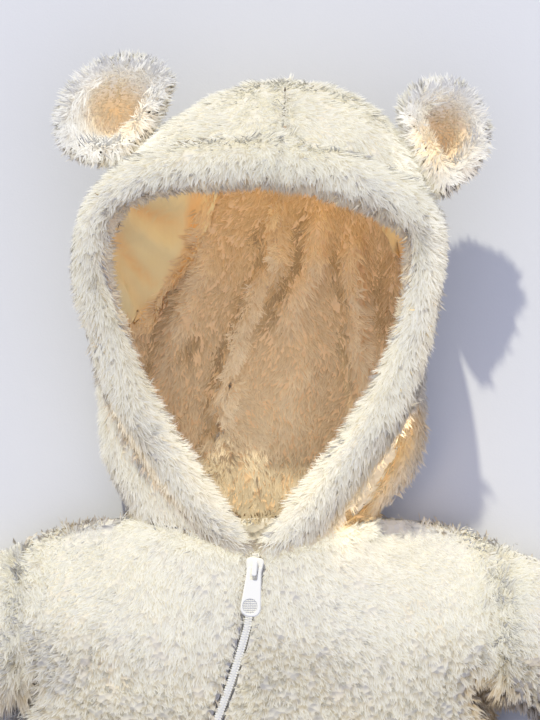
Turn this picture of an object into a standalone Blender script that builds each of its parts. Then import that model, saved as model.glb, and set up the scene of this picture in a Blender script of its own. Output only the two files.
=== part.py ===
"""A hooded plush baby bodysuit, laid on its back with its hood standing open.

+Z is up, the table is the plane z = 0, and the head end points along +Y. Lengths below are in
millimetres and MM turns them into metres. Every panel is a sheet worked out on a grid of two
parameters and given its thickness inwards, so it stays a wall of cloth with a hollow behind it.
Left and right are the wearer's: the garment lies face up, so its left side is at +X.
"""

import math

import bmesh
import bpy
import numpy as np

MM = 0.001

# Cloth
PLUSH = 6.0  # backing and standing pile of the plush
FACING = 1.6  # smooth facing inside the hood
FACING_CLEAR = 1.0  # how far the facing lies off the hood's inner face
FACING_RISE = 4.4  # and how much further its deep edge does, on the standing pile
BAND_CLEAR = 0.9  # and the band off both its faces
HOOD_STATIONS = 21  # curves that the hood, its band and its facings share
TAPE = 1.0
SEAM = 0.3  # gap between two pieces where they are sewn

# Body, sleeves and legs
ARMHOLE_X = 132.0
ARMHOLE_TOP_Y = -15.0
ARMPIT_Y = -104.0
SIDE_SEAM_Z = 17.0
CROTCH_Y = -352.0
NECK_EASE = 50.0  # how far down a panel its neckline shapes it
NECK_SIDE = 0.56  # where on the neckline the shoulder seam begins
NECK_SHARE = 0.52  # the part of a panel's top edge that is neckline

# Zip
CHAIN_WIDTH = 4.8
CHAIN_HEIGHT = 2.2
TAPE_WIDTH = 13.0
ZIP_CLOSING = 25.0  # below the chain's end the front panels come together over this length
ZIP_END_Y = -470.0
SLIDER_LENGTH = 13.5
SLIDER_WIDTH = 10.0
PULL_LENGTH = 28.0
PULL_WIDTH = 11.5
PULL_HEIGHT = 2.2
PULL_CROSSBAR = 0.9  # half the thickness of the bar that the pull turns on
PULL_AXIS_Z = 3.9  # above the garment's face
BRIDGE_TOP = 3.0  # above the pull's axis
SLIDER_PLACE_Y = -27.0

BODY_COLUMNS = ("y", "side_x", "top_z", "inseam_x", "zip_x", "back_seam_x")
BODY_ROWS = (
    (-16, 132, 54, 0, -2, -32),
    (-36, 132, 55, 0, -4, -29),
    (-60, 132, 54, 0, -7, -26),
    (-84, 132, 52, 0, -14, -22),
    (-104, 132, 50, 0, -21, -18),
    (-120, 132, 48, 0, -27, -15),
    (-160, 135, 44, 0, -42, -8),
    (-230, 140, 40, 0, -60, -1),
    (-300, 146, 37, 0, -74, 0),
    (-335, 148, 36, 0, -78, 0),
    (-352, 148, 35, 0, -80, 0),
    (-372, 147, 35, 11, -81, 11),
    (-420, 139, 34, 19, -80, 19),
    (-470, 130, 32, 27, -79, 27),
    (-520, 124, 31, 33, -78, 33),
)

SLEEVE_COLUMNS = ("along", "x", "y", "turn", "half_width", "top_z")
SLEEVE_ROWS = (
    (0.00, 132.3, -59.5, 0, 44.5, 49),
    (0.22, 164, -70, 15, 44, 46),
    (0.50, 204, -92, 27, 43, 42),
    (0.75, 238, -116, 34, 41, 38),
    (1.00, 272, -141, 36, 39, 34),
)

# The hood: each row is a curve from the centre seam, along the table and round the cheek, to the rim.
HOOD_COLUMNS = (
    "along", "seam_x", "seam_y", "seam_z", "axis_x", "floor_half", "cheek_half", "cheek_y", "cheek_z",
)
HOOD_ROWS = (
    (0.000, -32, 0, 0, 0, 74, 106, 9, 42),
    (0.200, -27, 38, 0, 0, 90, 120, 38, 42),
    (0.400, -14, 85, 0, 0, 92, 114, 76, 36),
    (0.550, 3, 130, 0, 0, 98, 103, 108, 31),
    (0.700, 12, 180, 0, 3, 95, 99, 155, 36),
    (0.800, 14, 223, 12, 10, 66, 92, 200, 58),
    (0.880, 14, 248, 44, 14, 48, 70, 230, 80),
    (0.940, 14, 244, 68, 14, 30, 40, 219, 96),
    (1.000, 14, 233, 84, 14, 0, 0, 210, 103),
)
RIM_COLUMNS = ("along", "x", "y", "z")
RIM_LEFT = (
    (0.000, 6, -15, 54),
    (0.100, 25, 9, 57),
    (0.200, 44, 33, 60),
    (0.400, 73, 73, 66),
    (0.550, 87, 106, 71),
    (0.700, 94, 146, 79),
    (0.800, 89, 168, 88),
    (0.880, 66, 180, 96),
    (0.940, 40, 189, 102),
    (1.000, 14, 197, 106),
)
RIM_RIGHT = (
    (0.000, -12, -15, 54),
    (0.100, -29, 8, 57),
    (0.200, -47, 32, 60),
    (0.400, -73, 72, 66),
    (0.550, -87, 105, 71),
    (0.700, -97, 146, 80),
    (0.800, -87, 179, 91),
    (0.880, -54, 193, 98),
    (0.940, -18, 195, 103),
    (1.000, 14, 197, 106),
)
# Large folds of the hood: rise is outwards, so a negative one is a trough outside and a ridge inside.
FOLD_COLUMNS = ("side", "along", "spread_along", "across", "spread_across", "rise")
HOOD_FOLDS = (
    (1, 0.12, 0.17, 0.79, 0.07, -13),
    (1, 0.22, 0.16, 0.64, 0.08, 6),
    (-1, 0.20, 0.17, 0.86, 0.05, -8),
    (1, 0.56, 0.16, 0.42, 0.05, -9),
    (1, 0.62, 0.12, 0.10, 0.05, -6),
    (-1, 0.46, 0.14, 0.40, 0.06, -6),
)
BAND_COLUMNS = ("along", "left_width", "right_width", "height")
BAND_ROWS = (
    (0.0, 32, 20, 6.0),
    (0.2, 23, 19, 7.0),
    (0.6, 15, 15, 7.0),
    (0.8, 16, 16, 7.5),
    (1.0, 17, 17, 8.0),
)
FACING_COLUMNS = ("along", "left_depth", "right_depth")
FACING_ROWS = ((0.50, 46, 66), (0.62, 58, 108), (0.74, 74, 116), (0.84, 66, 72), (0.92, 44, 30))

EAR_COLUMNS = ("side", "x", "y", "z", "lean_x", "lean_y", "turn", "half_width", "half_height", "slope")
EAR_ROWS = (
    (1, 99, 213, 44, 9, 5, -14, 26, 31, -0.35),
    (-1, -79, 227, 46, -5, 9, 32, 34, 28, 0.0),
)
EAR_DEPTH = 23.0
EAR_LAYER = 3.6
EAR_GAP = 1.0  # between an ear's two layers


def reading(columns, rows, at):
    """Reads a table at the given values of its first column, on a smooth curve through its rows."""
    table = np.array(rows, float)
    keys = table[:, 0]
    order = np.argsort(keys)
    keys, table = keys[order], table[order]
    slopes = np.gradient(table, keys, axis=0)
    at = np.clip(np.asarray(at, float), keys[0], keys[-1])
    low = np.clip(np.searchsorted(keys, at, side="right") - 1, 0, len(keys) - 2)
    span = (keys[low + 1] - keys[low])[..., None]
    part = (at - keys[low])[..., None] / span
    value = (
        table[low] * (1 + 2 * part) * (1 - part) ** 2
        + slopes[low] * span * part * (1 - part) ** 2
        + table[low + 1] * part**2 * (3 - 2 * part)
        + slopes[low + 1] * span * part**2 * (part - 1)
    )
    return {name: value[..., i] for i, name in enumerate(columns)}


def points(x, y, z):
    return np.stack(np.broadcast_arrays(x, y, z), axis=-1).astype(float)


def unit(vectors):
    return vectors / np.maximum(np.linalg.norm(vectors, axis=-1, keepdims=True), 1e-9)


def grid_normals(sheet, ring=False):
    """Normals of a grid sheet: rows run along the first axis, and a ring closes along the second."""
    down = np.gradient(sheet, axis=0)
    if ring:
        across = (np.roll(sheet, -1, axis=1) - np.roll(sheet, 1, axis=1)) / 2
    else:
        across = np.gradient(sheet, axis=1)
    return unit(np.cross(down, across))


def grid_faces(rows, columns, ring=False):
    index = np.arange(rows * columns).reshape(rows, columns)
    if ring:
        index = np.concatenate([index, index[:, :1]], axis=1)
    return np.stack(
        [index[:-1, :-1], index[1:, :-1], index[1:, 1:], index[:-1, 1:]], axis=-1
    ).reshape(-1, 4)


def walled(outer, inner, faces):
    """Joins an outer and an inner sheet of the same faces into one closed wall."""
    count = len(outer)
    ends = np.concatenate([faces[:, [i, (i + 1) % 4]] for i in range(4)])
    ends = ends[ends[:, 0] != ends[:, 1]]
    keys = np.sort(ends, axis=1)
    _, index, shared = np.unique(keys, axis=0, return_inverse=True, return_counts=True)
    free = ends[shared[index.reshape(-1)] == 1]
    rim = np.stack([free[:, 1], free[:, 0], free[:, 0] + count, free[:, 1] + count], axis=-1)
    return np.concatenate([outer, inner]), np.concatenate([faces, faces[:, ::-1] + count, rim])


def material(name, colour, roughness, sheen=0.0, coat=0.0):
    made = bpy.data.materials.new(name)
    made.use_nodes = True
    shader = made.node_tree.nodes["Principled BSDF"]
    shader.inputs["Base Color"].default_value = (*colour, 1.0)
    shader.inputs["Roughness"].default_value = roughness
    shader.inputs["Metallic"].default_value = 0.0
    shader.inputs["Sheen Weight"].default_value = sheen
    shader.inputs["Coat Weight"].default_value = coat
    return made


def plush(name):
    return material(name, (0.86, 0.83, 0.74), 0.95, sheen=0.4)


def make_object(name, vertices, faces, finish, smooth_angle=40):
    """Makes a named mesh object from points in millimetres, with its faces pointing outwards."""
    mesh = bpy.data.meshes.new(name)
    corners = [tuple(dict.fromkeys(int(i) for i in face)) for face in faces]
    mesh.from_pydata((np.asarray(vertices) * MM).tolist(), [], corners)
    work = bmesh.new()
    work.from_mesh(mesh)
    bmesh.ops.recalc_face_normals(work, faces=work.faces)
    if work.calc_volume(signed=True) < 0:
        bmesh.ops.reverse_faces(work, faces=work.faces)
    work.to_mesh(mesh)
    work.free()
    mesh.shade_smooth()
    mesh.set_sharp_from_angle(angle=math.radians(smooth_angle))
    mesh.materials.append(finish)
    made = bpy.data.objects.new(name, mesh)
    bpy.context.scene.collection.objects.link(made)
    return made


def sheet_object(name, outer, thickness, finish, ring=False, square=(), out=1,
                 body_y=None, top_lean=None, normals=None):
    """A panel: its outer sheet as a grid, its thickness inwards, and square edges at its seams.

    out is 1 where the grid's own normal points out of the garment and -1 where it points in.
    square lists (edge, axis): the wall at that edge has no lean along that axis. A body panel gives
    its rows' places along the body and the lean of its upper edge instead.
    """
    if normals is None:
        normals = grid_normals(outer, ring) * out
    if body_y is not None:
        square_side(normals, body_y)
        square_inner(normals, body_y)
        normals[0] = top_lean
    edges = {"first_row": (0, slice(None)), "last_row": (-1, slice(None)),
             "first_column": (slice(None), 0), "last_column": (slice(None), -1)}
    for edge, axis in square:
        normals[edges[edge] + ("xyz".index(axis),)] = 0
    normals = unit(normals)
    inner = outer - normals * np.asarray(thickness)[..., None]
    rows, columns = outer.shape[:2]
    vertices, faces = walled(
        outer.reshape(-1, 3), inner.reshape(-1, 3), grid_faces(rows, columns, ring)
    )
    return make_object(name, vertices, faces, finish)


def close_at_edges(count, tight=0.1):
    """Values from 0 to 1 that crowd towards both ends, where a panel turns down to its seams."""
    even = np.linspace(0, 1, count)
    return even - tight * np.sin(2 * math.pi * even)


def keep_clear(moving, sheet, normals, gap):
    """Moves points that are nearer than the gap to a sheet, or behind it, out along its normal."""
    flat = moving.reshape(-1, 3).copy()
    targets, ups = sheet.reshape(-1, 3), normals.reshape(-1, 3)
    for _ in range(3):
        away = ((flat[:, None] - targets[None]) ** 2).sum(axis=2)
        nearest = np.argmin(away, axis=1)
        height = ((flat - targets[nearest]) * ups[nearest]).sum(axis=1)
        near = away[np.arange(len(flat)), nearest] < 40**2
        flat += ups[nearest] * (np.clip(gap - height, 0, None) * near)[:, None]
    return flat.reshape(moving.shape)


# ---------------------------------------------------------------- hood


def hood_sheet(side, along, across):
    """The hood's outer face on one side (1 at +X): across runs from the centre seam 0 to the rim 1.

    Each curve is a cubic with one handle on the table beside the seam and one at the cheek.
    """
    row = reading(HOOD_COLUMNS, HOOD_ROWS, along)
    rim = reading(RIM_COLUMNS, RIM_LEFT if side > 0 else RIM_RIGHT, along)
    seam_x = row["seam_x"] + side * SEAM / 2
    start = points(seam_x, row["seam_y"], row["seam_z"])
    table_dip = 14 * np.clip(1 - row["seam_z"] / 10, 0, 1)
    floor = points(row["axis_x"] + side * (row["floor_half"] + SEAM / 2), row["seam_y"], row["seam_z"] - table_dip)
    cheek = points(row["axis_x"] + side * (row["cheek_half"] + SEAM / 2), row["cheek_y"], row["cheek_z"])
    end = points(rim["x"] + side * SEAM / 2, rim["y"], rim["z"])
    s = np.asarray(across)[..., None]
    curve = (1 - s) ** 3 * start + 3 * s * (1 - s) ** 2 * floor + 3 * s**2 * (1 - s) * cheek + s**3 * end
    return curve


def folded_hood(side, along, across):
    """The hood's face with its large folds, never lower than the table."""
    sheet = hood_sheet(side, along, across)
    normals = side * grid_normals(sheet)
    rise = np.zeros(sheet.shape[:2])
    for of_side, at, spread, place, width, height in HOOD_FOLDS:
        if of_side == side:
            rise += height * np.exp(-(((along - at) / spread) ** 2) - ((across - place) / width) ** 2)
    rise *= np.clip(along / 0.06, 0, 1) * np.clip((1 - across) / 0.06, 0, 1)
    sheet = sheet + normals * rise[..., None]
    sheet[..., 2] = np.maximum(sheet[..., 2], 0)
    return sheet


def seam_normals(line):
    """Outward normals of the hood where two halves meet: square to the seam, in its own plane."""
    along = np.gradient(line, axis=0)
    return unit(points(0, along[:, 2], -along[:, 1]))


def hood_grid(side, rows, columns):
    """The hood's face on one side, and its outward normals, which both sides share at the seam."""
    along, across = np.meshgrid(np.linspace(0, 1, rows), np.linspace(0, 1, columns), indexing="ij")
    sheet = folded_hood(side, along, across)
    normals = side * grid_normals(sheet)
    crown = seam_normals(sheet[-1])
    normals[:, 0] = seam_normals(sheet[:, 0])
    crown[0] = unit(crown[0] + normals[-1, 0])
    normals[-1] = crown
    return sheet, normals


def build_hood(finish):
    for side, name in ((1, "hood_left"), (-1, "hood_right")):
        sheet, normals = hood_grid(side, HOOD_STATIONS, 15)
        sheet_object(name, sheet, PLUSH, finish, square=(("first_row", "y"),), normals=normals)


def at_distance(sheet, normals, distance):
    """Points and normals of a sheet at a distance along each row's curve from its last point."""
    back, ups = sheet[:, ::-1], normals[:, ::-1]
    steps = np.linalg.norm(np.diff(back, axis=1), axis=2)
    run = np.concatenate([np.zeros((len(back), 1)), np.cumsum(steps, axis=1)], axis=1)
    distance = np.broadcast_to(distance, (len(back),))
    both = np.concatenate([back, ups], axis=2)
    found = np.array(
        [[np.interp(d, line, row[:, i]) for i in range(6)] for d, line, row in zip(distance, run, both)]
    )
    return found[:, :3], unit(found[:, 3:])


def build_band(finish):
    """The rim turned out over the hood's edge: a strip folded over it, thick and round outside."""
    clear = BAND_CLEAR
    for side, name in ((1, "hood_band_left"), (-1, "hood_band_right")):
        stations = np.linspace(0, 1, HOOD_STATIONS)
        sheet, normals = hood_grid(side, HOOD_STATIONS, 121)
        normals[0, :, 1] = 0
        normals = unit(normals)
        size = reading(BAND_COLUMNS, BAND_ROWS, stations)
        low, high = [], []
        for depth, thick in ((9.0, 1.6), (4.0, 3.0)):
            place, up = at_distance(sheet, normals, depth)
            low.append(place - up * (PLUSH + clear))
            high.append(place - up * (PLUSH + clear + thick))
        over = unit(sheet[:, -1] - sheet[:, -3])
        over[-1, 0] = 0
        over[0, 1] = 0
        middle = sheet[:, -1] - normals[:, -2] * PLUSH / 2
        up = normals[:, -2]
        for angle in np.radians((-55, 0, 55)):
            near = PLUSH / 2 + clear
            swing, rise = math.cos(angle), math.sin(angle)
            low.append(middle + over * (0.5 + 1.5 * swing) + up * near * rise)
            far = PLUSH / 2 + clear + (3.4 if angle < 0 else 5.0)
            high.append(middle + over * (1.5 + 6.0 * swing) + up * far * rise)
        for share in (0.2, 0.6, 1.0):
            place, up = at_distance(sheet, normals, size["left_width" if side > 0 else "right_width"] * share)
            thick = size["height"] * (1 - 0.7 * share**3)
            low.append(place + up * clear)
            high.append(place + up * (clear + thick[:, None]))
        low, high = np.stack(low, axis=1), np.stack(high, axis=1)
        rows, columns = low.shape[:2]
        vertices, faces = walled(high.reshape(-1, 3), low.reshape(-1, 3), grid_faces(rows, columns))
        make_object(name, vertices, faces, finish)


def build_facings(finish):
    """The smooth facing inside the opening's upper sides, lying on the hood's inner face."""
    for side, name, depth in ((1, "hood_facing_left", "left_depth"), (-1, "hood_facing_right", "right_depth")):
        rows_along = np.linspace(0.5, 0.9, 9)
        along, across = np.meshgrid(rows_along, np.linspace(0, 1, 91), indexing="ij")
        sheet = folded_hood(side, along, across)
        normals = side * grid_normals(sheet)
        width = reading(FACING_COLUMNS, FACING_ROWS, rows_along)[depth]
        near, far = [], []
        for share in np.linspace(0, 1, 6):
            place, up = at_distance(sheet, normals, 11.5 + width * share)
            clear = FACING_CLEAR + FACING_RISE * min(share * 1.6, 1)
            near.append(place - up * (PLUSH + clear))
            far.append(place - up * (PLUSH + clear + FACING))
        near, far = np.stack(near, axis=1), np.stack(far, axis=1)
        rows, columns = near.shape[:2]
        vertices, faces = walled(near.reshape(-1, 3), far.reshape(-1, 3), grid_faces(rows, columns))
        make_object(name, vertices, faces, finish)


# ---------------------------------------------------------------- ears


def softened(moves, passes=6):
    """A grid of moves, each made the mean of itself and its neighbours, a few times over."""
    for _ in range(passes):
        for axis in (0, 1):
            rows = np.moveaxis(moves, axis, 0)
            around = np.concatenate([rows[:1], rows, rows[-1:]])
            moves = np.moveaxis((around[:-2] + 2 * around[1:-1] + around[2:]) / 4, 0, axis)
    return moves


def build_ears(finish, lining):
    """Two round ears, each an outer and an inner layer sewn together and cupped.

    A layer is a square grid pressed into a disc: x = a sqrt(1 - b b / 2), y = b sqrt(1 - a a / 2).
    """
    hood = {side: hood_grid(side, 70, 90) for side in (1, -1)}
    for row in EAR_ROWS:
        ear = dict(zip(EAR_COLUMNS, row))
        side = ear["side"]
        name = "left" if side > 0 else "right"
        a, b = np.meshgrid(np.linspace(-1, 1, 9), np.linspace(-1, 1, 9), indexing="ij")
        disc_x, disc_y = a * np.sqrt(1 - b * b / 2), b * np.sqrt(1 - a * a / 2)
        radius = np.hypot(disc_x, disc_y)
        pinch = 1 - 0.35 * np.clip(-disc_y, 0, 1) ** 1.5
        cup_z = EAR_DEPTH * (radius**2.2 - 1)
        turn = math.radians(ear["turn"])
        flat_x = disc_x * ear["half_width"] * pinch
        flat_y = disc_y * ear["half_height"]
        x = ear["x"] + flat_x * math.cos(turn) - flat_y * math.sin(turn)
        y = ear["y"] + flat_x * math.sin(turn) + flat_y * math.cos(turn)
        lean = np.clip(-cup_z / EAR_DEPTH, 0, 1)
        outer = points(x - ear["lean_x"] * lean, y - ear["lean_y"] * lean,
                       ear["z"] + 18 + cup_z + ear["slope"] * (x - ear["x"]))
        for gap in (5.0, 4.0, 3.0):
            outer = outer + softened(keep_clear(outer, *hood[side], gap) - outer)
        outer = keep_clear(outer, *hood[side], 1.6)
        outer[..., 2] = np.maximum(outer[..., 2], 0.4)
        slope = 0.5 * EAR_DEPTH * 2.2 * radius**1.2 / ear["half_width"]
        round_x, round_y = (part / np.maximum(radius, 1e-6) * slope for part in (disc_x, disc_y))
        ups = unit(points(-(round_x * math.cos(turn) - round_y * math.sin(turn)) - ear["slope"],
                          -(round_x * math.sin(turn) + round_y * math.cos(turn)), 1.0))
        true_ups = grid_normals(outer)
        true_ups[::8, ::8] = ups[::8, ::8]
        ups = unit(ups + softened(true_ups))
        upright = np.abs((true_ups * ups).sum(axis=2))
        ups = ups / np.clip(upright, 0.5, 1)[..., None]
        inner = outer + ups * (EAR_LAYER + EAR_GAP)
        far = outer + ups * (2 * EAR_LAYER + EAR_GAP)
        faces = grid_faces(9, 9)
        for layer, low, high, finish_of in (
            ("outer", outer, outer + ups * EAR_LAYER, finish), ("inner", inner, far, lining),
        ):
            vertices, wall = walled(low.reshape(-1, 3), high.reshape(-1, 3), faces)
            make_object(f"ear_{name}_{layer}", vertices, wall, finish_of)


# ---------------------------------------------------------------- body


def neck_edge(side, across):
    """The neckline on one side, just below the hood's lower edge, and the hood's lean there."""
    dense = np.linspace(0, 1, 161)
    grid = np.meshgrid(np.linspace(0, 0.03, 3), dense, indexing="ij")
    sheet = folded_hood(side, *grid)
    leans = side * grid_normals(sheet)[0]
    leans[:, 1] = 0
    both = np.concatenate([sheet[0] - [0, 2 * SEAM, 0], unit(leans)], axis=1)
    places = np.atleast_1d(across)
    found = np.stack([np.interp(places, dense, both[:, i]) for i in range(6)], axis=-1)
    return found[:, :3], unit(found[:, 3:])


def armhole(angle):
    """Height of the armhole's edge: angle 0 at the armpit, pi at the shoulder; front and back."""
    swell = np.sin(np.clip(angle, 0, math.pi)) ** np.where(angle < math.pi / 2, 0.75, 1.1)
    front = SIDE_SEAM_Z + (SLEEVE_ROWS[0][5] - SIDE_SEAM_Z) * swell
    back = np.maximum(SIDE_SEAM_Z * (1 - 1.6 * swell), 0)
    return front, back


def armhole_share(y):
    """0 at the shoulder, the armpit and the side seam, and up to 1 in the middle of the armhole."""
    return np.clip((edge_heights(y)[0] - SIDE_SEAM_Z) / (SLEEVE_ROWS[0][5] - SIDE_SEAM_Z), 0, 1)


def square_side(normals, y):
    """Squares a panel's last column: across the body at the armhole, and level at the side seam."""
    share = np.clip(armhole_share(y) * 3, 0, 1)
    normals[:, -1, 0] *= 1 - share
    normals[:, -1, 2] *= share


def square_inner(normals, y):
    """Squares a panel's first column: across at the centre seam, and level at the inseam."""
    on_leg = (y <= CROTCH_Y + 12)[:, None]
    normals[:, 0] = np.where(on_leg, normals[:, 0] * [1, 1, 0], normals[:, 0] * [0, 1, 1])


def armhole_angles(y):
    """Angles round the armhole for places along the body: 0 at the armpit, pi at the shoulder."""
    middle, half = (ARMHOLE_TOP_Y + ARMPIT_Y) / 2, (ARMHOLE_TOP_Y - ARMPIT_Y - 2) / 2
    return np.arccos(np.clip((middle - y) / half, -1, 1)) * (y > ARMPIT_Y)


def edge_heights(y):
    """Heights of the front and the back panel at their outer edge, for a place along the body."""
    return armhole(armhole_angles(y))


def top_edge(side, shares, front):
    """A panel's upper edge, along the neckline and then the shoulder seam, and its wall's lean."""
    far = 1.0 if front else 0.0
    first = shares[1] if front else 0.0
    on_neck = np.clip((shares - first) / (NECK_SHARE - first), 0, 1)
    neck, neck_lean = neck_edge(side, far + (NECK_SIDE - far) * on_neck)
    start, start_lean = (found[0] for found in neck_edge(side, NECK_SIDE))
    end = np.array([side * (ARMHOLE_X - 0.3), ARMHOLE_TOP_Y, SIDE_SEAM_Z])
    along = np.clip((shares - NECK_SHARE) / (1 - NECK_SHARE), 0, 1)[:, None]
    seam = start + (end - start) * along
    seam[:, 1] += 5 * np.sin(math.pi * along[:, 0])
    seam_lean = unit(start_lean * (1 - along) ** 3 + np.array([0, 1, 0]) * np.minimum(along * 3, 1))
    seam_lean[:, 2] *= 1 - along[:, 0] ** 0.5
    on_line = shares[:, None] <= NECK_SHARE
    line = np.where(on_line, neck, seam)
    lean = unit(np.where(on_line, neck_lean, seam_lean))
    line[:, 2] += SEAM / 2 if front else -SEAM / 2
    if front:
        line[0, 0] = BODY_ROWS[0][4] + side * (CHAIN_WIDTH / 2 + 2 * SEAM)
    return line, lean


def stations():
    """Places along the body, closer together at the armpit and the crotch."""
    keys = [row[0] for row in BODY_ROWS]
    steps = [2 if abs(a - b) > 45 or a in (keys[0], keys[3]) else 1 for a, b in zip(keys, keys[1:])]
    return np.concatenate(
        [np.linspace(a, b, n, endpoint=False) for a, b, n in zip(keys, keys[1:], steps)] + [[keys[-1]]]
    )


def leg_share(y):
    """0 on the body and 1 on the leg: how far a panel's inner edge has turned down to the inseam."""
    return np.clip((CROTCH_Y + 30 - y) / 30, 0, 1) ** 2


def with_shoulder_corner(shares):
    """The same shares with the nearest one moved to where the neckline meets the shoulder seam."""
    shares = np.array(shares)
    shares[np.argmin(np.abs(shares - NECK_SHARE))] = NECK_SHARE
    return shares


def half_panel(side, shares, front, inner_x, outer_x, row, y, both_close):
    """Rows of a panel between two edges; it turns down to the seams that it is sewn at."""
    edge_front, edge_back = edge_heights(y)
    legs = leg_share(y)[:, None] * both_close
    u = np.abs(shares[None] + (shares[None] - 1) * legs)
    open_share = armhole_share(y)[:, None]
    full = (1 - open_share) * np.sqrt(np.clip(1 - u**5, 0, 1)) + open_share * (1 - u**2)
    x = inner_x[:, None] + (outer_x - inner_x)[:, None] * shares[None]
    outer_side = (shares[None] > 0.5) | (legs <= 0)
    if front:
        edge = np.where(outer_side, edge_front[:, None], SIDE_SEAM_Z) + SEAM / 2
        z = edge + (row["top_z"][:, None] - edge) * full
    else:
        edge = np.where(outer_side, edge_back[:, None], SIDE_SEAM_Z) - SEAM / 2
        z = np.maximum(edge * (1 - 1.25 * full), 0)
    return points(x, y[:, None], z)


def blend_top(sheet, edge, y):
    """Eases a panel's upper rows into its neckline and shoulder seam."""
    ease = np.clip(1 - (y[0] - y) / NECK_EASE, 0, 1) ** 1.5
    return sheet + (edge - sheet[0])[None] * ease[:, None, None]


def build_backs(finish):
    for side, name in ((1, "back_left"), (-1, "back_right")):
        y = stations()
        row = reading(BODY_COLUMNS, BODY_ROWS, y)
        shares = with_shoulder_corner(close_at_edges(9, 0.07))
        inner = np.where(y > CROTCH_Y, row["back_seam_x"], side * row["back_seam_x"]) + side * SEAM / 2
        outer = side * (row["side_x"] - 0.3)
        sheet = half_panel(side, shares, False, inner, outer, row, y, 1.0)
        edge, lean = top_edge(side, shares, False)
        sheet = blend_top(sheet, edge, y)
        sheet[..., 2] = np.maximum(sheet[..., 2], 0)
        sheet_object(name, sheet, PLUSH, finish, out=-side, body_y=y, top_lean=lean)


def zip_half_gap(y):
    """Half the gap between the front panels: open for the chain, and closing to a seam below its end."""
    opening = np.clip((y - ZIP_END_Y) / ZIP_CLOSING + 1, 0, 1)
    return SEAM / 2 + (CHAIN_WIDTH / 2 + 1.5 * SEAM) * opening


def front_wall(distance):
    """Wall of a front panel: the plush, pressed thin where the zip tape is sewn under it."""
    return PLUSH - 3.5 * np.exp(-((distance / 9) ** 2))


def build_front_right(finish):
    """The wearer's right front: from the zip out to the side seam, and the outer half of that leg."""
    y = stations()
    row = reading(BODY_COLUMNS, BODY_ROWS, y)
    shares = with_shoulder_corner(close_at_edges(9, 0.05))
    inner = row["zip_x"] - zip_half_gap(y)
    sheet = half_panel(-1, shares, True, inner, -(row["side_x"] - 0.3), row, y, 0.0)
    edge, lean = top_edge(-1, shares, True)
    sheet = blend_top(sheet, edge, y)
    wall = front_wall(sheet[..., 0] - row["zip_x"][:, None])
    sheet_object("front_right", sheet, wall, finish, out=-1, body_y=y, top_lean=lean,
                 square=(("first_column", "x"),))


def build_front_left(finish):
    """The wearer's left front: from the zip to the left side seam, down both legs as one piece.

    Below the crotch its grid splits at one column: the strip beside the zip goes down the right leg
    and the rest down the left leg.
    """
    y = stations()
    rows = len(y)
    row = reading(BODY_COLUMNS, BODY_ROWS, y)
    split, columns, crotch = 4, 12, int(np.argmin(np.abs(y - CROTCH_Y)))
    strip = np.linspace(0, 1, split + 1)
    wide = close_at_edges(columns - split, 0.07)
    zip_edge = row["zip_x"] + zip_half_gap(y)
    middle = np.where(y > CROTCH_Y, 30 * np.clip((y - CROTCH_Y) / 330, 0, 1), 0)
    legs = np.where(y < CROTCH_Y, 1.0, 0.0)
    inseam = row["inseam_x"] + SEAM / 2
    left = half_panel(1, wide, True, middle + inseam * legs, row["side_x"] - 0.3, row, y, 1.0)
    edge = np.full(rows, SIDE_SEAM_Z + SEAM / 2)
    full = np.sqrt(np.clip(1 - (strip[None] * leg_share(y)[:, None] ** 0.5) ** 5, 0, 1))
    x = zip_edge[:, None] + (middle - inseam * legs - zip_edge)[:, None] * strip[None]
    right = points(x, y[:, None], edge[:, None] + (row["top_z"] - edge)[:, None] * full)
    top_shares = with_shoulder_corner(np.concatenate([strip[:-1] * 0.24, 0.24 + 0.76 * wide]))
    top, lean = top_edge(1, top_shares, True)
    body = np.concatenate([right[:, :-1], left], axis=1)
    body = blend_top(body, top, y)
    right = np.concatenate([body[:, :split], right[:, -1:]], axis=1)
    right[: crotch + 1, -1] = body[: crotch + 1, split]
    left = body[:, split:]
    normals_right, normals_left = grid_normals(right), grid_normals(left)
    shared = unit(normals_right[: crotch + 1, -1] + normals_left[: crotch + 1, 0])
    normals_right[: crotch + 1, -1] = normals_left[: crotch + 1, 0] = shared
    square_side(normals_left, y)
    normals_left[crotch:, 0, 2] = 0
    normals_right[crotch:, -1, 2] = 0
    normals_right[crotch, -1] = normals_left[crotch, 0] = (0, -1, 0)
    normals_right[:, 0, 0] = 0
    normals_right[0], normals_left[0] = lean[: split + 1], lean[split:]
    wall_right, wall_left = (front_wall(part[..., 0] - row["zip_x"][:, None]) for part in (right, left))
    inner_right = right - unit(normals_right) * wall_right[..., None]
    inner_left = left - unit(normals_left) * wall_left[..., None]
    # The two grids share the column above the crotch.
    index_right = np.arange(rows * (split + 1)).reshape(rows, split + 1)
    index_left = np.arange(left.shape[0] * left.shape[1]).reshape(left.shape[:2]) + index_right.size
    index_left[: crotch + 1, 0] = index_right[: crotch + 1, -1]
    faces = []
    for index in (index_right, index_left):
        faces.append(np.stack(
            [index[:-1, :-1], index[1:, :-1], index[1:, 1:], index[:-1, 1:]], axis=-1).reshape(-1, 4))
    faces = np.concatenate(faces)
    outer = np.concatenate([right.reshape(-1, 3), left.reshape(-1, 3)])
    inner = np.concatenate([inner_right.reshape(-1, 3), inner_left.reshape(-1, 3)])
    used, renumbered = np.unique(faces, return_inverse=True)
    vertices, wall = walled(outer[used], inner[used], renumbered.reshape(faces.shape))
    make_object("front_left", vertices, wall, finish)


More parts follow.
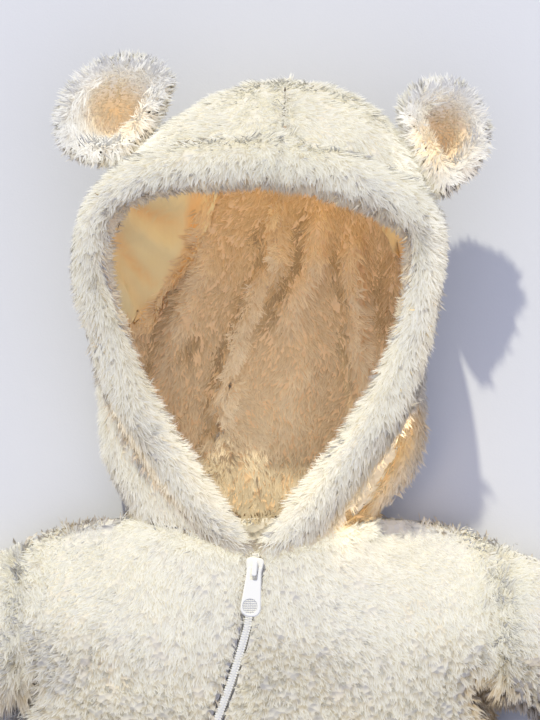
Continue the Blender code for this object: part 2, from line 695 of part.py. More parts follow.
def build_sleeves(finish):
    """A long sleeve each side: a tube from the armhole to the open cuff, flat where it lies."""
    for side, name in ((1, "sleeve_left"), (-1, "sleeve_right")):
        along = np.linspace(0, 1, 7)
        row = reading(SLEEVE_COLUMNS, SLEEVE_ROWS, along)
        body_y = stations()
        front_angles = armhole_angles(body_y[body_y > ARMPIT_Y - 1])[::-1]
        around = np.concatenate([front_angles, 2 * math.pi - front_angles[-2:0:-1]])
        front, back = armhole(np.where(around <= math.pi, around, 2 * math.pi - around))
        z = np.where(around <= math.pi, front, back)
        top = (row["top_z"] - SIDE_SEAM_Z) / (SLEEVE_ROWS[0][5] - SIDE_SEAM_Z)
        above = np.maximum(z - SIDE_SEAM_Z, 0) * top[:, None]
        height = np.minimum(z, SIDE_SEAM_Z)[None] + above
        across = -np.cos(around)[None] * row["half_width"][:, None]
        turn = np.radians(row["turn"])[:, None]
        x = row["x"][:, None] + across * np.sin(turn)
        sheet = points(side * x, row["y"][:, None] + across * np.cos(turn), height)
        sheet_object(name, sheet, PLUSH - 0.5, finish, ring=True, out=side, square=(("first_row", "x"),))


# ---------------------------------------------------------------- zip


def zip_line(y, offset=0.0):
    """Places along the zip on the garment's face, moved sideways by the offset."""
    row = reading(BODY_COLUMNS, BODY_ROWS, y)
    return points(row["zip_x"] + offset, y, row["top_z"])


def build_zip(tape_finish, teeth_finish):
    """The tapes sewn under the front panels, and the closed chain in the gap between the panels."""
    places = stations()
    inside = places[(places < -20) & (places > ZIP_END_Y + 4)]
    y = np.concatenate([[-18.5], inside, [ZIP_END_Y]])
    under = SEAM + 0.1
    top_dip = np.clip(1 - (y[0] - y) / NECK_EASE, 0, 1)
    for side, name in ((1, "zip_tape_left"), (-1, "zip_tape_right")):
        high = np.stack([
            zip_line(y, side * d) - points(0, 0, front_wall(d) + under + 0.15 * d * top_dip)
            for d in (SEAM / 2, 6.0, TAPE_WIDTH)
        ], axis=1)
        low = high - [0, 0, TAPE]
        vertices, faces = walled(high.reshape(-1, 3), low.reshape(-1, 3), grid_faces(len(y), 3))
        make_object(name, vertices, faces, tape_finish)
    drop = front_wall(0) + under - SEAM
    low = np.stack([zip_line(y, x) - [0, 0, drop] for x in (-CHAIN_WIDTH / 2, CHAIN_WIDTH / 2)], axis=1)
    high = np.stack([zip_line(y, x) - [0, 0, drop - CHAIN_HEIGHT]
                     for x in (-CHAIN_WIDTH / 2 + 0.5, CHAIN_WIDTH / 2 - 0.5)], axis=1)
    vertices, faces = walled(high.reshape(-1, 3), low.reshape(-1, 3), grid_faces(len(y), 2))
    make_object("zip_chain", vertices, faces, teeth_finish)


def outline_solid(outline, low, high):
    """Vertices and faces of a flat outline, in x and y, between two heights."""
    outline = np.asarray(outline, float)
    count = len(outline)
    vertices = np.concatenate([np.column_stack([outline, np.full(count, z)]) for z in (low, high)])
    ring = np.arange(count)
    after = np.roll(ring, -1)
    faces = [list(ring[::-1]), list(ring + count)]
    faces += [[a, b, b + count, a + count] for a, b in zip(ring, after)]
    return vertices, faces


def rounded(half_top, half_bottom, top_y, bottom_y, top_radius, bottom_radius, steps=5):
    """A tapered outline with round corners, anticlockwise from its upper right corner."""
    corners = ((half_top, top_y, top_radius, 0), (-half_top, top_y, top_radius, 90),
               (-half_bottom, bottom_y, bottom_radius, 180), (half_bottom, bottom_y, bottom_radius, 270))
    line = []
    for x, y, radius, first in corners:
        centre = (x - math.copysign(radius, x), y - math.copysign(radius, y - (top_y + bottom_y) / 2))
        for angle in np.radians(np.linspace(first, first + 90, steps)):
            line.append((centre[0] + radius * math.cos(angle), centre[1] + radius * math.sin(angle)))
    return line


def plain_object(name, vertices, faces, finish, place, turn):
    made = bpy.data.objects.new(name, bpy.data.meshes.new(name))
    made.data.from_pydata((np.asarray(vertices) * MM).tolist(), [], faces)
    work = bmesh.new()
    work.from_mesh(made.data)
    bmesh.ops.recalc_face_normals(work, faces=work.faces)
    work.to_mesh(made.data)
    work.free()
    made.data.materials.append(finish)
    made.location = [v * MM for v in place]
    made.rotation_euler = (0, 0, turn)
    bpy.context.scene.collection.objects.link(made)
    return made


def combine(target, other, operation):
    """Adds another solid to the target, or cuts it away, with a Boolean that stays on the target."""
    other.hide_render = True
    other.display_type = "WIRE"
    modifier = target.modifiers.new(other.name, "BOOLEAN")
    modifier.operation = operation
    modifier.object = other


def bevel(target, width, segments=2):
    modifier = target.modifiers.new("bevel", "BEVEL")
    modifier.width = width * MM
    modifier.segments = segments
    modifier.limit_method = "ANGLE"
    modifier.angle_limit = math.radians(40)


def build_slider(plastic):
    """The slider: a tapered plate on the chain with a bridge, and the pull hinged under the bridge."""
    y = SLIDER_PLACE_Y
    here, above = zip_line(np.array([y, y + 6.0]))
    turn = math.atan2(here[0] - above[0], above[1] - here[1])
    place = here + [0, 0, PULL_AXIS_Z]
    base = 0.4 - PULL_AXIS_Z
    plate_top = base + 2.1
    half = SLIDER_WIDTH / 2
    vertices, faces = outline_solid(
        rounded(half, half * 0.72, 6.0, 6.0 - SLIDER_LENGTH, 2.4, 1.8), base, plate_top)
    slider = plain_object("zip_slider", vertices, faces, plastic, place, turn)
    bevel(slider, 0.5, 1)
    bridge = plain_object("bridge", *outline_solid(
        rounded(1.5, 1.5, 4.6, -4.2, 0.9, 0.9, 3), plate_top - 0.8, BRIDGE_TOP), plastic, place, turn)
    bevel(bridge, 0.6)
    eye = plain_object("bridge_eye", *outline_solid(
        [(3, 1.9), (-3, 1.9), (-3, -1.5), (3, -1.5)], plate_top + 0.05, BRIDGE_TOP - 1.3), plastic, place, turn)
    combine(slider, bridge, "UNION")
    combine(slider, eye, "DIFFERENCE")

    thick = PULL_HEIGHT / 2
    end = PULL_CROSSBAR - PULL_LENGTH
    pull = plain_object("zip_pull", *outline_solid(
        rounded(4.0, PULL_WIDTH / 2, PULL_CROSSBAR, end, 1.2, 4.6), -thick, thick), plastic, place, turn)
    bevel(pull, 0.6, 1)
    window = plain_object("pull_window", *outline_solid(
        rounded(2.0, 2.0, PULL_CROSSBAR - 1.6, -6.4, 0.6, 0.6, 3), -4, 4), plastic, place, turn)
    thin = plain_object("pull_crossbar_relief", *outline_solid(
        [(6, 3), (-6, 3), (-6, -1.1), (6, -1.1)], PULL_CROSSBAR, 4), plastic, place, turn)
    circle = [(4.0 * math.cos(a), end + 6.4 + 4.0 * math.sin(a))
              for a in np.linspace(0, 2 * math.pi, 16, endpoint=False)]
    recess = plain_object("pull_recess", *outline_solid(circle, thick - 0.5, 4), plastic, place, turn)
    for cutter in (window, thin, recess):
        combine(pull, cutter, "DIFFERENCE")
    return slider, pull


def place_garment():
    """Puts the whole garment under one empty, so that the origin is under the middle of its box."""
    bpy.context.view_layer.update()
    corners = np.array([
        (made.matrix_world @ vertex.co)[:]
        for made in bpy.data.objects if made.type == "MESH" and not made.hide_render
        for vertex in made.data.vertices
    ])
    middle = (corners.min(axis=0) + corners.max(axis=0)) / 2
    garment = bpy.data.objects.new("garment", None)
    bpy.context.scene.collection.objects.link(garment)
    garment.location = (-middle[0], -middle[1], -corners[:, 2].min())
    for made in bpy.data.objects:
        if made is not garment:
            made.parent = garment


for existing in list(bpy.data.objects):
    bpy.data.objects.remove(existing)

PILE = plush("plush_pile")
SMOOTH = material("smooth_facing", (0.80, 0.62, 0.38), 0.8, sheen=0.2)
PLASTIC = material("white_plastic", (0.86, 0.86, 0.86), 0.3, coat=0.3)
build_hood(PILE)
build_band(plush("plush_band"))
build_facings(SMOOTH)
build_ears(PILE, plush("plush_ear_inner"))
build_backs(PILE)
build_front_right(PILE)
build_front_left(PILE)
build_sleeves(PILE)
build_zip(material("zip_tape", (0.84, 0.83, 0.80), 0.8), PLASTIC)
build_slider(PLASTIC)
place_garment()
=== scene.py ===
"""A baby's hooded one-piece of long cream plush, laid on its back with the hood open.

Lengths in the tables are millimetres, measured from the collar: x to the wearer's left,
y towards the crown of the hood, z up from the table.
"""
import math

import bmesh
import bpy
import mathutils
import numpy as np
from mathutils.bvhtree import BVHTree
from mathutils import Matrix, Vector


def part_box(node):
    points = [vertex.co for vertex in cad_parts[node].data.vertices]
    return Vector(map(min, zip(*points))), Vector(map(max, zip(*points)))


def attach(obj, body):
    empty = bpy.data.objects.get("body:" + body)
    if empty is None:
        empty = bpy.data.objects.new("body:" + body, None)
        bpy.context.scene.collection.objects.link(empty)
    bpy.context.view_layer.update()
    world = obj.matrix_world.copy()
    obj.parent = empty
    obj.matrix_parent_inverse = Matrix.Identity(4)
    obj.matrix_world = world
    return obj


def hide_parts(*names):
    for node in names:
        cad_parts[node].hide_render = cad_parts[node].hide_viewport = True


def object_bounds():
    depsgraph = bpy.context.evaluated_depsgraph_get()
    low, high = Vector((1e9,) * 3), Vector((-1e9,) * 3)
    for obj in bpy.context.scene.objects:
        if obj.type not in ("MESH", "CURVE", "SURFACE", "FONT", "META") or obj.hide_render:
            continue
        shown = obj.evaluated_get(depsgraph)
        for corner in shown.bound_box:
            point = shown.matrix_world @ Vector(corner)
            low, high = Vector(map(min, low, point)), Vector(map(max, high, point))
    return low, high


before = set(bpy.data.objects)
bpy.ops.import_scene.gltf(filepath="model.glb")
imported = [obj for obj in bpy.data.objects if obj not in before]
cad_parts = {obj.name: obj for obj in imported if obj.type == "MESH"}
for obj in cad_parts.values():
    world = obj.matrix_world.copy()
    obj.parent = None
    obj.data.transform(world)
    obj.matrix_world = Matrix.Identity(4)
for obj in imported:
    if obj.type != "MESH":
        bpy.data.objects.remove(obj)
cad_box = [list(corner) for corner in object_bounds()]

# ---------------------------------------------------------------- table, light and camera
# The garment lies on a pale table and is seen from straight above, from the collar to the ears.
# A low sun stands behind the crown, and a pale blue room fills the shadows.

MM = 0.001
HEM_TO_COLLAR = 0.520
collar_y = cad_box[0][1] + HEM_TO_COLLAR
scene = bpy.context.scene
scene.view_settings.view_transform = "Standard"

VIEW_HEIGHT = 0.4032
VIEW_DISTANCE = 2.6
VIEW_MIDDLE = (5.6, 89.6, 55)
camera = bpy.data.objects.new("camera", bpy.data.cameras.new("camera"))
scene.collection.objects.link(camera)
camera.data.sensor_width = 36
camera.data.lens = 36 * VIEW_DISTANCE / VIEW_HEIGHT
camera.location = (
    VIEW_MIDDLE[0] * MM, collar_y + VIEW_MIDDLE[1] * MM, VIEW_MIDDLE[2] * MM + VIEW_DISTANCE)
camera.data.clip_end = 20
scene.camera = camera

sun = bpy.data.objects.new("sun", bpy.data.lights.new("sun", "SUN"))
scene.collection.objects.link(sun)
sun.data.energy = 3.12
sun.data.color = (1.0, 0.97, 0.81)
sun.data.angle = math.radians(1.6)
SUN_HEIGHT = 30
SUN_TURN = 14
sun.rotation_euler = (math.radians(SUN_HEIGHT - 90), 0, math.radians(SUN_TURN))
sun_way = np.array(sun.rotation_euler.to_matrix() @ mathutils.Vector((0, 0, 1)))

room = bpy.data.worlds.new("room")
room.use_nodes = True
room.node_tree.nodes["Background"].inputs["Color"].default_value = (0.72, 0.76, 1.0, 1)
room.node_tree.nodes["Background"].inputs["Strength"].default_value = 0.89
scene.world = room

# The sun that soaks through the crown is a soft amber light inside it, tipped down the hollow. Small
# lamps do the same in the hollow, the neck and the folds, and fill the shaded pile of the ears and
# the rim. Places are millimetres, sizes metres, tilts and turns degrees.
AMBER = (1.0, 0.78, 0.45)
PALE_FILL = (1.0, 0.96, 0.84)
for name, colour, place, size, energy, tilt, turn in (
        ("crown_glow", (1.0, 0.76, 0.45), (8, 205, 70), (0.12, 0.05), 0.037, -50, 0),
        ("hollow_glow", AMBER, (2, 66, 80), (0.06, 0.12), 0.018, 0, 0),
        ("valley_glow", AMBER, (68, 20, 56), (0.008, 0.080), 0.009, 0, -29),
        ("ear_fill_left", PALE_FILL, (95, 214, 86), (0.04, 0.04), 0.0048, 0, 0),
        ("ear_fill_right", PALE_FILL, (-80, 228, 86), (0.04, 0.04), 0.0045, 0, 0),
        ("neck_glow", AMBER, (-8, 56, 74), (0.05, 0.03), 0.0050, 0, 0),
        ("crease_glow", AMBER, (-66, 30, 62), (0.008, 0.080), 0.0016, 0, 33),
        ("band_fill", PALE_FILL, (104, 122, 92), (0.02, 0.10), 0.004, 0, 0)):
    glow = bpy.data.objects.new(name, bpy.data.lights.new(name, "AREA"))
    scene.collection.objects.link(glow)
    glow.data.shape = "RECTANGLE"
    glow.data.size, glow.data.size_y = size
    glow.data.energy = energy
    glow.data.color = colour
    glow.location = (place[0] * MM, collar_y + place[1] * MM, place[2] * MM)
    glow.rotation_euler = (math.radians(tilt), 0, math.radians(turn))
scene.cycles.diffuse_bounces = 8
scene.cycles.max_bounces = 12


def new_material(name, roughness=0.8, specular=0.3, sheen=0.0, coat=0.0):
    """A Principled material with its plain values set: the material, its nodes, links and shader."""
    made = bpy.data.materials.new(name)
    made.use_nodes = True
    nodes, links = made.node_tree.nodes, made.node_tree.links
    shader = nodes["Principled BSDF"]
    shader.inputs["Roughness"].default_value = roughness
    shader.inputs["Specular IOR Level"].default_value = specular
    shader.inputs["Sheen Weight"].default_value = sheen
    shader.inputs["Coat Weight"].default_value = coat
    return made, nodes, links, shader


def pattern(nodes, links, kind, scale):
    """A texture laid in the piece's own coordinates."""
    place = nodes.new("ShaderNodeTexCoord")
    made = nodes.new("ShaderNodeTex" + kind)
    made.inputs["Scale"].default_value = scale
    links.new(place.outputs["Object"], made.inputs["Vector"])
    return made


def relief(nodes, links, shader, height, strength, distance):
    """Small bumps of the surface, as high as the given output."""
    bump = nodes.new("ShaderNodeBump")
    bump.inputs["Strength"].default_value = strength
    bump.inputs["Distance"].default_value = distance
    links.new(height, bump.inputs["Height"])
    links.new(bump.outputs["Normal"], shader.inputs["Normal"])
    return bump


HALF_TABLE = 3.0
TABLE_Z = -0.0004
table_top = bpy.data.meshes.new("table_top")
table_top.from_pydata(
    [(x * HALF_TABLE, y * HALF_TABLE, TABLE_Z) for x, y in ((-1, -1), (1, -1), (1, 1), (-1, 1))],
    [], [(0, 1, 2, 3)])
table = bpy.data.objects.new("table_top", table_top)
scene.collection.objects.link(table)
board, nodes, links, shader = new_material("painted_board", roughness=0.75, specular=0.25)
fibre = pattern(nodes, links, "Noise", 900)
fibre.inputs["Detail"].default_value = 3
relief(nodes, links, shader, fibre.outputs["Fac"], strength=0.12, distance=0.0004)
shader.inputs["Base Color"].default_value = (0.67, 0.67, 0.67, 1)
table.data.materials.append(board)


# ---------------------------------------------------------------- plush
# Every panel is knitted plush: a soft cream backing with long pile that lies combed in tufts.
# A panel's cloth keeps the form of its solid, and its pile is thousands of small pointed locks.

def from_collar(points):
    """Points in metres turned into millimetres from the collar."""
    return (np.asarray(points) - (0, collar_y, 0)) / MM


def to_frame(points):
    """Millimetres from the collar turned back into metres."""
    return np.asarray(points) * MM + (0, collar_y, 0)


def unit(vectors):
    return vectors / np.maximum(np.linalg.norm(vectors, axis=-1, keepdims=True), 1e-9)


def mesh_arrays(mesh):
    """A mesh's vertices in millimetres from the collar, its triangles and its vertex normals."""
    mesh.calc_loop_triangles()
    points = np.empty(len(mesh.vertices) * 3)
    normals = np.empty(len(mesh.vertices) * 3)
    triangles = np.empty(len(mesh.loop_triangles) * 3, np.int32)
    mesh.vertices.foreach_get("co", points)
    mesh.vertices.foreach_get("normal", normals)
    mesh.loop_triangles.foreach_get("vertices", triangles)
    return from_collar(points.reshape(-1, 3)), triangles.reshape(-1, 3), normals.reshape(-1, 3)


def subdivided(node, levels, sharp=50):
    """A copy of a solid's mesh, merged, in quads, rounded between its cut edges by subdivision."""
    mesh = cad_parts[node].data.copy()
    work = bmesh.new()
    work.from_mesh(mesh)
    bmesh.ops.remove_doubles(work, verts=work.verts, dist=1e-5)
    bmesh.ops.join_triangles(
        work, faces=work.faces, angle_face_threshold=math.radians(35),
        angle_shape_threshold=math.radians(50))
    edge_crease = work.edges.layers.float.new("crease_edge")
    for edge in work.edges:
        if edge.calc_face_angle(0) > math.radians(sharp):
            edge[edge_crease] = 0.85
    work.to_mesh(mesh)
    work.free()
    holder = bpy.data.objects.new("holder", mesh)
    scene.collection.objects.link(holder)
    smooth = holder.modifiers.new("smooth", "SUBSURF")
    smooth.levels = smooth.render_levels = levels
    made = bpy.data.meshes.new_from_object(holder.evaluated_get(bpy.context.evaluated_depsgraph_get()))
    bpy.data.objects.remove(holder)
    return made


BOW = 0.06


def along_strokes(points, strokes):
    """How strongly each point feels each stroke (x0, y0, x1, y1, width, strength) drawn on the garment.

    A Gaussian of the distance to the stroke, over its width, times a taper to its two ends. A
    stroke bows a little to one side, as soft folds do.
    """
    felt = np.zeros(len(points))
    for x0, y0, x1, y1, width, strength in strokes:
        way = np.array((x1 - x0, y1 - y0), float)
        length = np.linalg.norm(way)
        way /= length
        run = (points[:, 0] - x0) * way[0] + (points[:, 1] - y0) * way[1]
        off = -(points[:, 0] - x0) * way[1] + (points[:, 1] - y0) * way[0]
        off = off + BOW * length * np.sin(math.pi * np.clip(run / length, 0, 1))
        past = np.maximum(-run, run - length).clip(0)
        taper = np.sin(math.pi * np.clip((run + width) / (length + 2 * width), 0, 1)) ** 0.5
        felt += strength * taper * np.exp(-(off / width) ** 2 - (past / width) ** 2)
    return felt


def show_attribute(mesh, name, values):
    made = mesh.attributes.new(name, "FLOAT", "POINT")
    made.data.foreach_set("value", np.ascontiguousarray(values, np.float32))


def flatness(points, triangles, normals):
    """1 on a cloth's faces, falling to 0 at its cut edges, where they turn from the mean normal."""
    corners = points[triangles]
    faces = unit(np.cross(corners[:, 1] - corners[:, 0], corners[:, 2] - corners[:, 0]))
    least = np.ones(len(points))
    for corner in range(3):
        np.minimum.at(least, triangles[:, corner], (normals[triangles[:, corner]] * faces).sum(axis=1))
    return np.clip((least - 0.75) / 0.15, 0, 1)


cloths = {}
cloth_trees = {}


def make_cloth(node, outward, finish, levels=1, inset=1.2, creases=(), ridges=(), glow_paint=(),
               inside_glow_paint=0.0):
    """The panel's cloth as its own piece, kept in cloths with its arrays, and in cloth_trees.

    The arrays are its points, triangles, normals, a mask of its outside and how near a cut edge
    each point is. The faces are let in by inset, to leave the solid's outline to the pile. Creases
    move both faces of the cloth together, along the outside's normal. Ridges raise only the inner
    face that looks up. The glow strokes, drawn with the same kind of strokes, paint an amber glow
    into the colour for light coming through the cloth; the inside faces get painted glow at the
    inner share, and deep creases get painted glow too.
    """
    mesh = subdivided(node, levels)
    points, triangles, normals = mesh_arrays(mesh)
    facing_out = outward(points, normals)
    above = np.clip(normals[:, 2] * np.where(facing_out, 1, -1) * 2 + 1, 0, 1)
    rise = along_strokes(points, creases) * above
    points = (points - normals * (inset * flatness(points, triangles, normals))[:, None]
              + normals * (rise * np.where(facing_out, 1, -1))[:, None])
    inner_rise = along_strokes(points, ridges) * np.clip(normals[:, 2] * 3 - 0.5, 0, 1) * ~facing_out
    points[:, 2] = np.maximum(points[:, 2], 0.2) + inner_rise
    mesh.vertices.foreach_set("co", to_frame(points).astype(np.float32).ravel())
    mesh.update()
    # Painted glow: how much amber is mixed into the colour, on the strokes, the inside faces and deep
    # creases.
    glow = along_strokes(points, glow_paint) * above + np.where(facing_out, 0, inside_glow_paint)
    show_attribute(mesh, "painted_glow", np.clip(glow + np.clip(-(rise + inner_rise) / 14, 0, 0.6), 0, 1))
    mesh.polygons.foreach_set("use_smooth", np.ones(len(mesh.polygons), bool))
    mesh.materials.clear()
    mesh.materials.append(finish)
    cloth = bpy.data.objects.new(node + "_cloth", mesh)
    scene.collection.objects.link(cloth)
    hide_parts(node)
    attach(cloth, "garment")
    points, triangles, normals = mesh_arrays(mesh)
    edge = 1 - flatness(points, triangles, normals)
    cloths[node] = (cloth, (points, triangles, normals, facing_out, edge))
    cloth_trees[node] = BVHTree.FromPolygons(points.tolist(), triangles.tolist())


PATCH_SHARE = 0.5


def shared_colour_group():
    """Plush colour: cream with painted shade at the roots, drifting in broad patches, and painted amber
    glow.
    """
    group = bpy.data.node_groups.new("plush_colour", "ShaderNodeTree")
    for name in ("Tip", "Root", "Glow", "Deep glow"):
        group.interface.new_socket(name, in_out="INPUT", socket_type="NodeSocketColor")
    group.interface.new_socket("Color", in_out="OUTPUT", socket_type="NodeSocketColor")
    nodes, links = group.nodes, group.links
    given, result = nodes.new("NodeGroupInput"), nodes.new("NodeGroupOutput")
    reads = {}
    for name in ("height", "tone_and_shade", "painted_glow"):
        reads[name] = nodes.new("ShaderNodeAttribute")
        reads[name].attribute_name = name
    patches = pattern(nodes, links, "Noise", 26)
    patches.inputs["Detail"].default_value = 3
    total = nodes.new("ShaderNodeMath")
    total.operation = "MULTIPLY_ADD"
    links.new(patches.outputs["Fac"], total.inputs[0])
    total.inputs[1].default_value = PATCH_SHARE
    links.new(reads["tone_and_shade"].outputs["Fac"], total.inputs[2])

    def mix(kind, factor, first, second):
        step = nodes.new("ShaderNodeMix")
        step.data_type = "RGBA"
        step.blend_type = kind
        links.new(factor, step.inputs[0])
        links.new(first, step.inputs[6])
        links.new(second, step.inputs[7])
        return step.outputs[2]

    body = mix("MIX", reads["height"].outputs["Fac"], given.outputs["Root"], given.outputs["Tip"])
    glow = mix("MIX", reads["height"].outputs["Fac"], given.outputs["Deep glow"], given.outputs["Glow"])
    lit = mix("MIX", reads["painted_glow"].outputs["Fac"], body, glow)
    # Darkened by the lock values: random lightness of each tuft and lock, plus painted shade given in
    # make_pile.
    dim = nodes.new("ShaderNodeMapRange")
    dim.inputs["From Max"].default_value = 3.0
    dim.inputs["To Min"].default_value = 1.04
    dim.inputs["To Max"].default_value = 0.50
    links.new(total.outputs[0], dim.inputs["Value"])
    toned = nodes.new("ShaderNodeVectorMath")
    toned.operation = "SCALE"
    links.new(lit, toned.inputs[0])
    links.new(dim.outputs["Result"], toned.inputs["Scale"])
    links.new(toned.outputs["Vector"], result.inputs["Color"])
    return group


plush_colour = shared_colour_group()


def shared_normal_group():
    """Soft normal: the lock's own normal drawn towards that of the cloth it stands on."""
    group = bpy.data.node_groups.new("soft_normal", "ShaderNodeTree")
    group.interface.new_socket("Softness", in_out="INPUT", socket_type="NodeSocketFloat")
    group.interface.new_socket("Normal", in_out="OUTPUT", socket_type="NodeSocketVector")
    nodes, links = group.nodes, group.links
    given, result = nodes.new("NodeGroupInput"), nodes.new("NodeGroupOutput")
    own = nodes.new("ShaderNodeNewGeometry")
    skin = nodes.new("ShaderNodeAttribute")
    skin.attribute_name = "skin"
    drawn = nodes.new("ShaderNodeMix")
    drawn.data_type = "VECTOR"
    links.new(given.outputs["Softness"], drawn.inputs[0])
    links.new(own.outputs["Normal"], drawn.inputs[4])
    links.new(skin.outputs["Vector"], drawn.inputs[5])
    whole = nodes.new("ShaderNodeVectorMath")
    whole.operation = "NORMALIZE"
    links.new(drawn.outputs[1], whole.inputs[0])
    links.new(whole.outputs["Vector"], result.inputs["Normal"])
    return group


soft_normal = shared_normal_group()


def soften(nodes, links, shader, softness, through):
    """Gives a pile material the soft normal, and lets a share of the light through its locks."""
    normal = nodes.new("ShaderNodeGroup")
    normal.node_tree = soft_normal
    normal.inputs["Softness"].default_value = softness
    links.new(normal.outputs["Normal"], shader.inputs["Normal"])
    thin = nodes.new("ShaderNodeBsdfTranslucent")
    links.new(shader.inputs["Base Color"].links[0].from_socket, thin.inputs["Color"])
    both = nodes.new("ShaderNodeMixShader")
    both.inputs["Fac"].default_value = through
    links.new(shader.outputs["BSDF"], both.inputs[1])
    links.new(thin.outputs["BSDF"], both.inputs[2])
    links.new(both.outputs["Shader"], nodes["Material Output"].inputs["Surface"])


def plush_material(name, tip, root, glow, deep, roughness=0.62):
    """Pile or backing: the shared plush colour with its own four colours."""
    made, nodes, links, shader = new_material(name, roughness=roughness, specular=0.35, sheen=0.2)
    shader.inputs["Sheen Roughness"].default_value = 0.45
    shader.inputs["Sheen Tint"].default_value = (1.0, 0.97, 0.9, 1)
    colour = nodes.new("ShaderNodeGroup")
    colour.node_tree = plush_colour
    for socket, value in (("Tip", tip), ("Root", root), ("Glow", glow), ("Deep glow", deep)):
        colour.inputs[socket].default_value = (*value, 1)
    links.new(colour.outputs["Color"], shader.inputs["Base Color"])
    return made, nodes, links, shader


# The darker root colour is painted shade deep in the pile, seen between the locks; the glow colours are
# painted amber glow for light coming through.
pile_finish, nodes, links, shader = plush_material(
    "cream_pile", tip=(0.93, 0.922, 0.875), root=(0.60, 0.53, 0.41), glow=(0.92, 0.74, 0.46),
    deep=(0.84, 0.58, 0.28))
soften(nodes, links, shader, softness=0.68, through=0.26)
# The inside pile's amber cream is a painted glow for light coming through the crown, with painted shade
# deeper at its roots.
inner_finish, nodes, links, shader = plush_material(
    "inner_pile_amber_paint", tip=(0.96, 0.89, 0.70), root=(0.80, 0.64, 0.40), glow=(0.94, 0.74, 0.44),
    deep=(0.72, 0.47, 0.22))
soften(nodes, links, shader, softness=0.42, through=0.3)
# The backing is darker than the pile's tips as painted shade where it shows between the locks; its glow
# colours are painted amber glow.
backing_finish, nodes, links, shader = plush_material(
    "plush_backing", tip=(0.68, 0.645, 0.56), root=(0.68, 0.645, 0.56), glow=(0.80, 0.56, 0.30),
    deep=(0.80, 0.56, 0.30), roughness=0.85)
tufts = pattern(nodes, links, "Voronoi", 260)
relief(nodes, links, shader, tufts.outputs["Distance"], strength=0.8, distance=0.0015)


def combed(points, combs):
    """The way the pile is combed at each point: near rows (x, y, way_x, way_y) count most."""
    rows = np.array(combs, float)
    ways = rows[:, 2:] / np.linalg.norm(rows[:, 2:], axis=1, keepdims=True)
    gap = ((points[:, None, :2] - rows[None, :, :2]) ** 2).sum(axis=2)
    weight = 1 / (gap + 150) ** 1.5
    way = (weight[..., None] * ways[None]).sum(axis=1)
    return np.column_stack([unit(way), np.zeros(len(points))])


def swirl(points, size, seed):
    """A slow, seeded unevenness, mostly from -1 to 1: four sine waves of mixed directions."""
    rng = np.random.default_rng(seed)
    waves = rng.normal(size=(4, 3)) / size
    shifts = rng.uniform(0, 2 * math.pi, 4)
    return np.sin(points @ waves.T * 2 + shifts).mean(axis=1) * 1.6


def uncovered(points, normals, reach):
    """Which spots have no cloth within reach over them, their own panel's folds included."""
    starts, ways = (points + normals * 0.3).tolist(), normals.tolist()
    return np.array([
        all(tree.ray_cast(start, way, reach)[0] is None for tree in cloth_trees.values())
        for start, way in zip(starts, ways)
    ])


piles = {}
ROOT_DEPTH = 1.0
WIDEST_AT = 0.45
BENDS_AT = 0.45
CURL = 0.5
MORE_AT_EDGES = 1.4
TURN, TURN_AT_EDGES = 0.28, 0.25
# Short tufts stand lower and are painted darker, as shade in the gaps between tufts.
LOW_SHORTER, LOW_SHADE_PAINT = 0.4, 1.1
LOCK_FACES = np.array([(0, 3, 1), (0, 2, 3), (0, 1, 2), (1, 3, 2)])


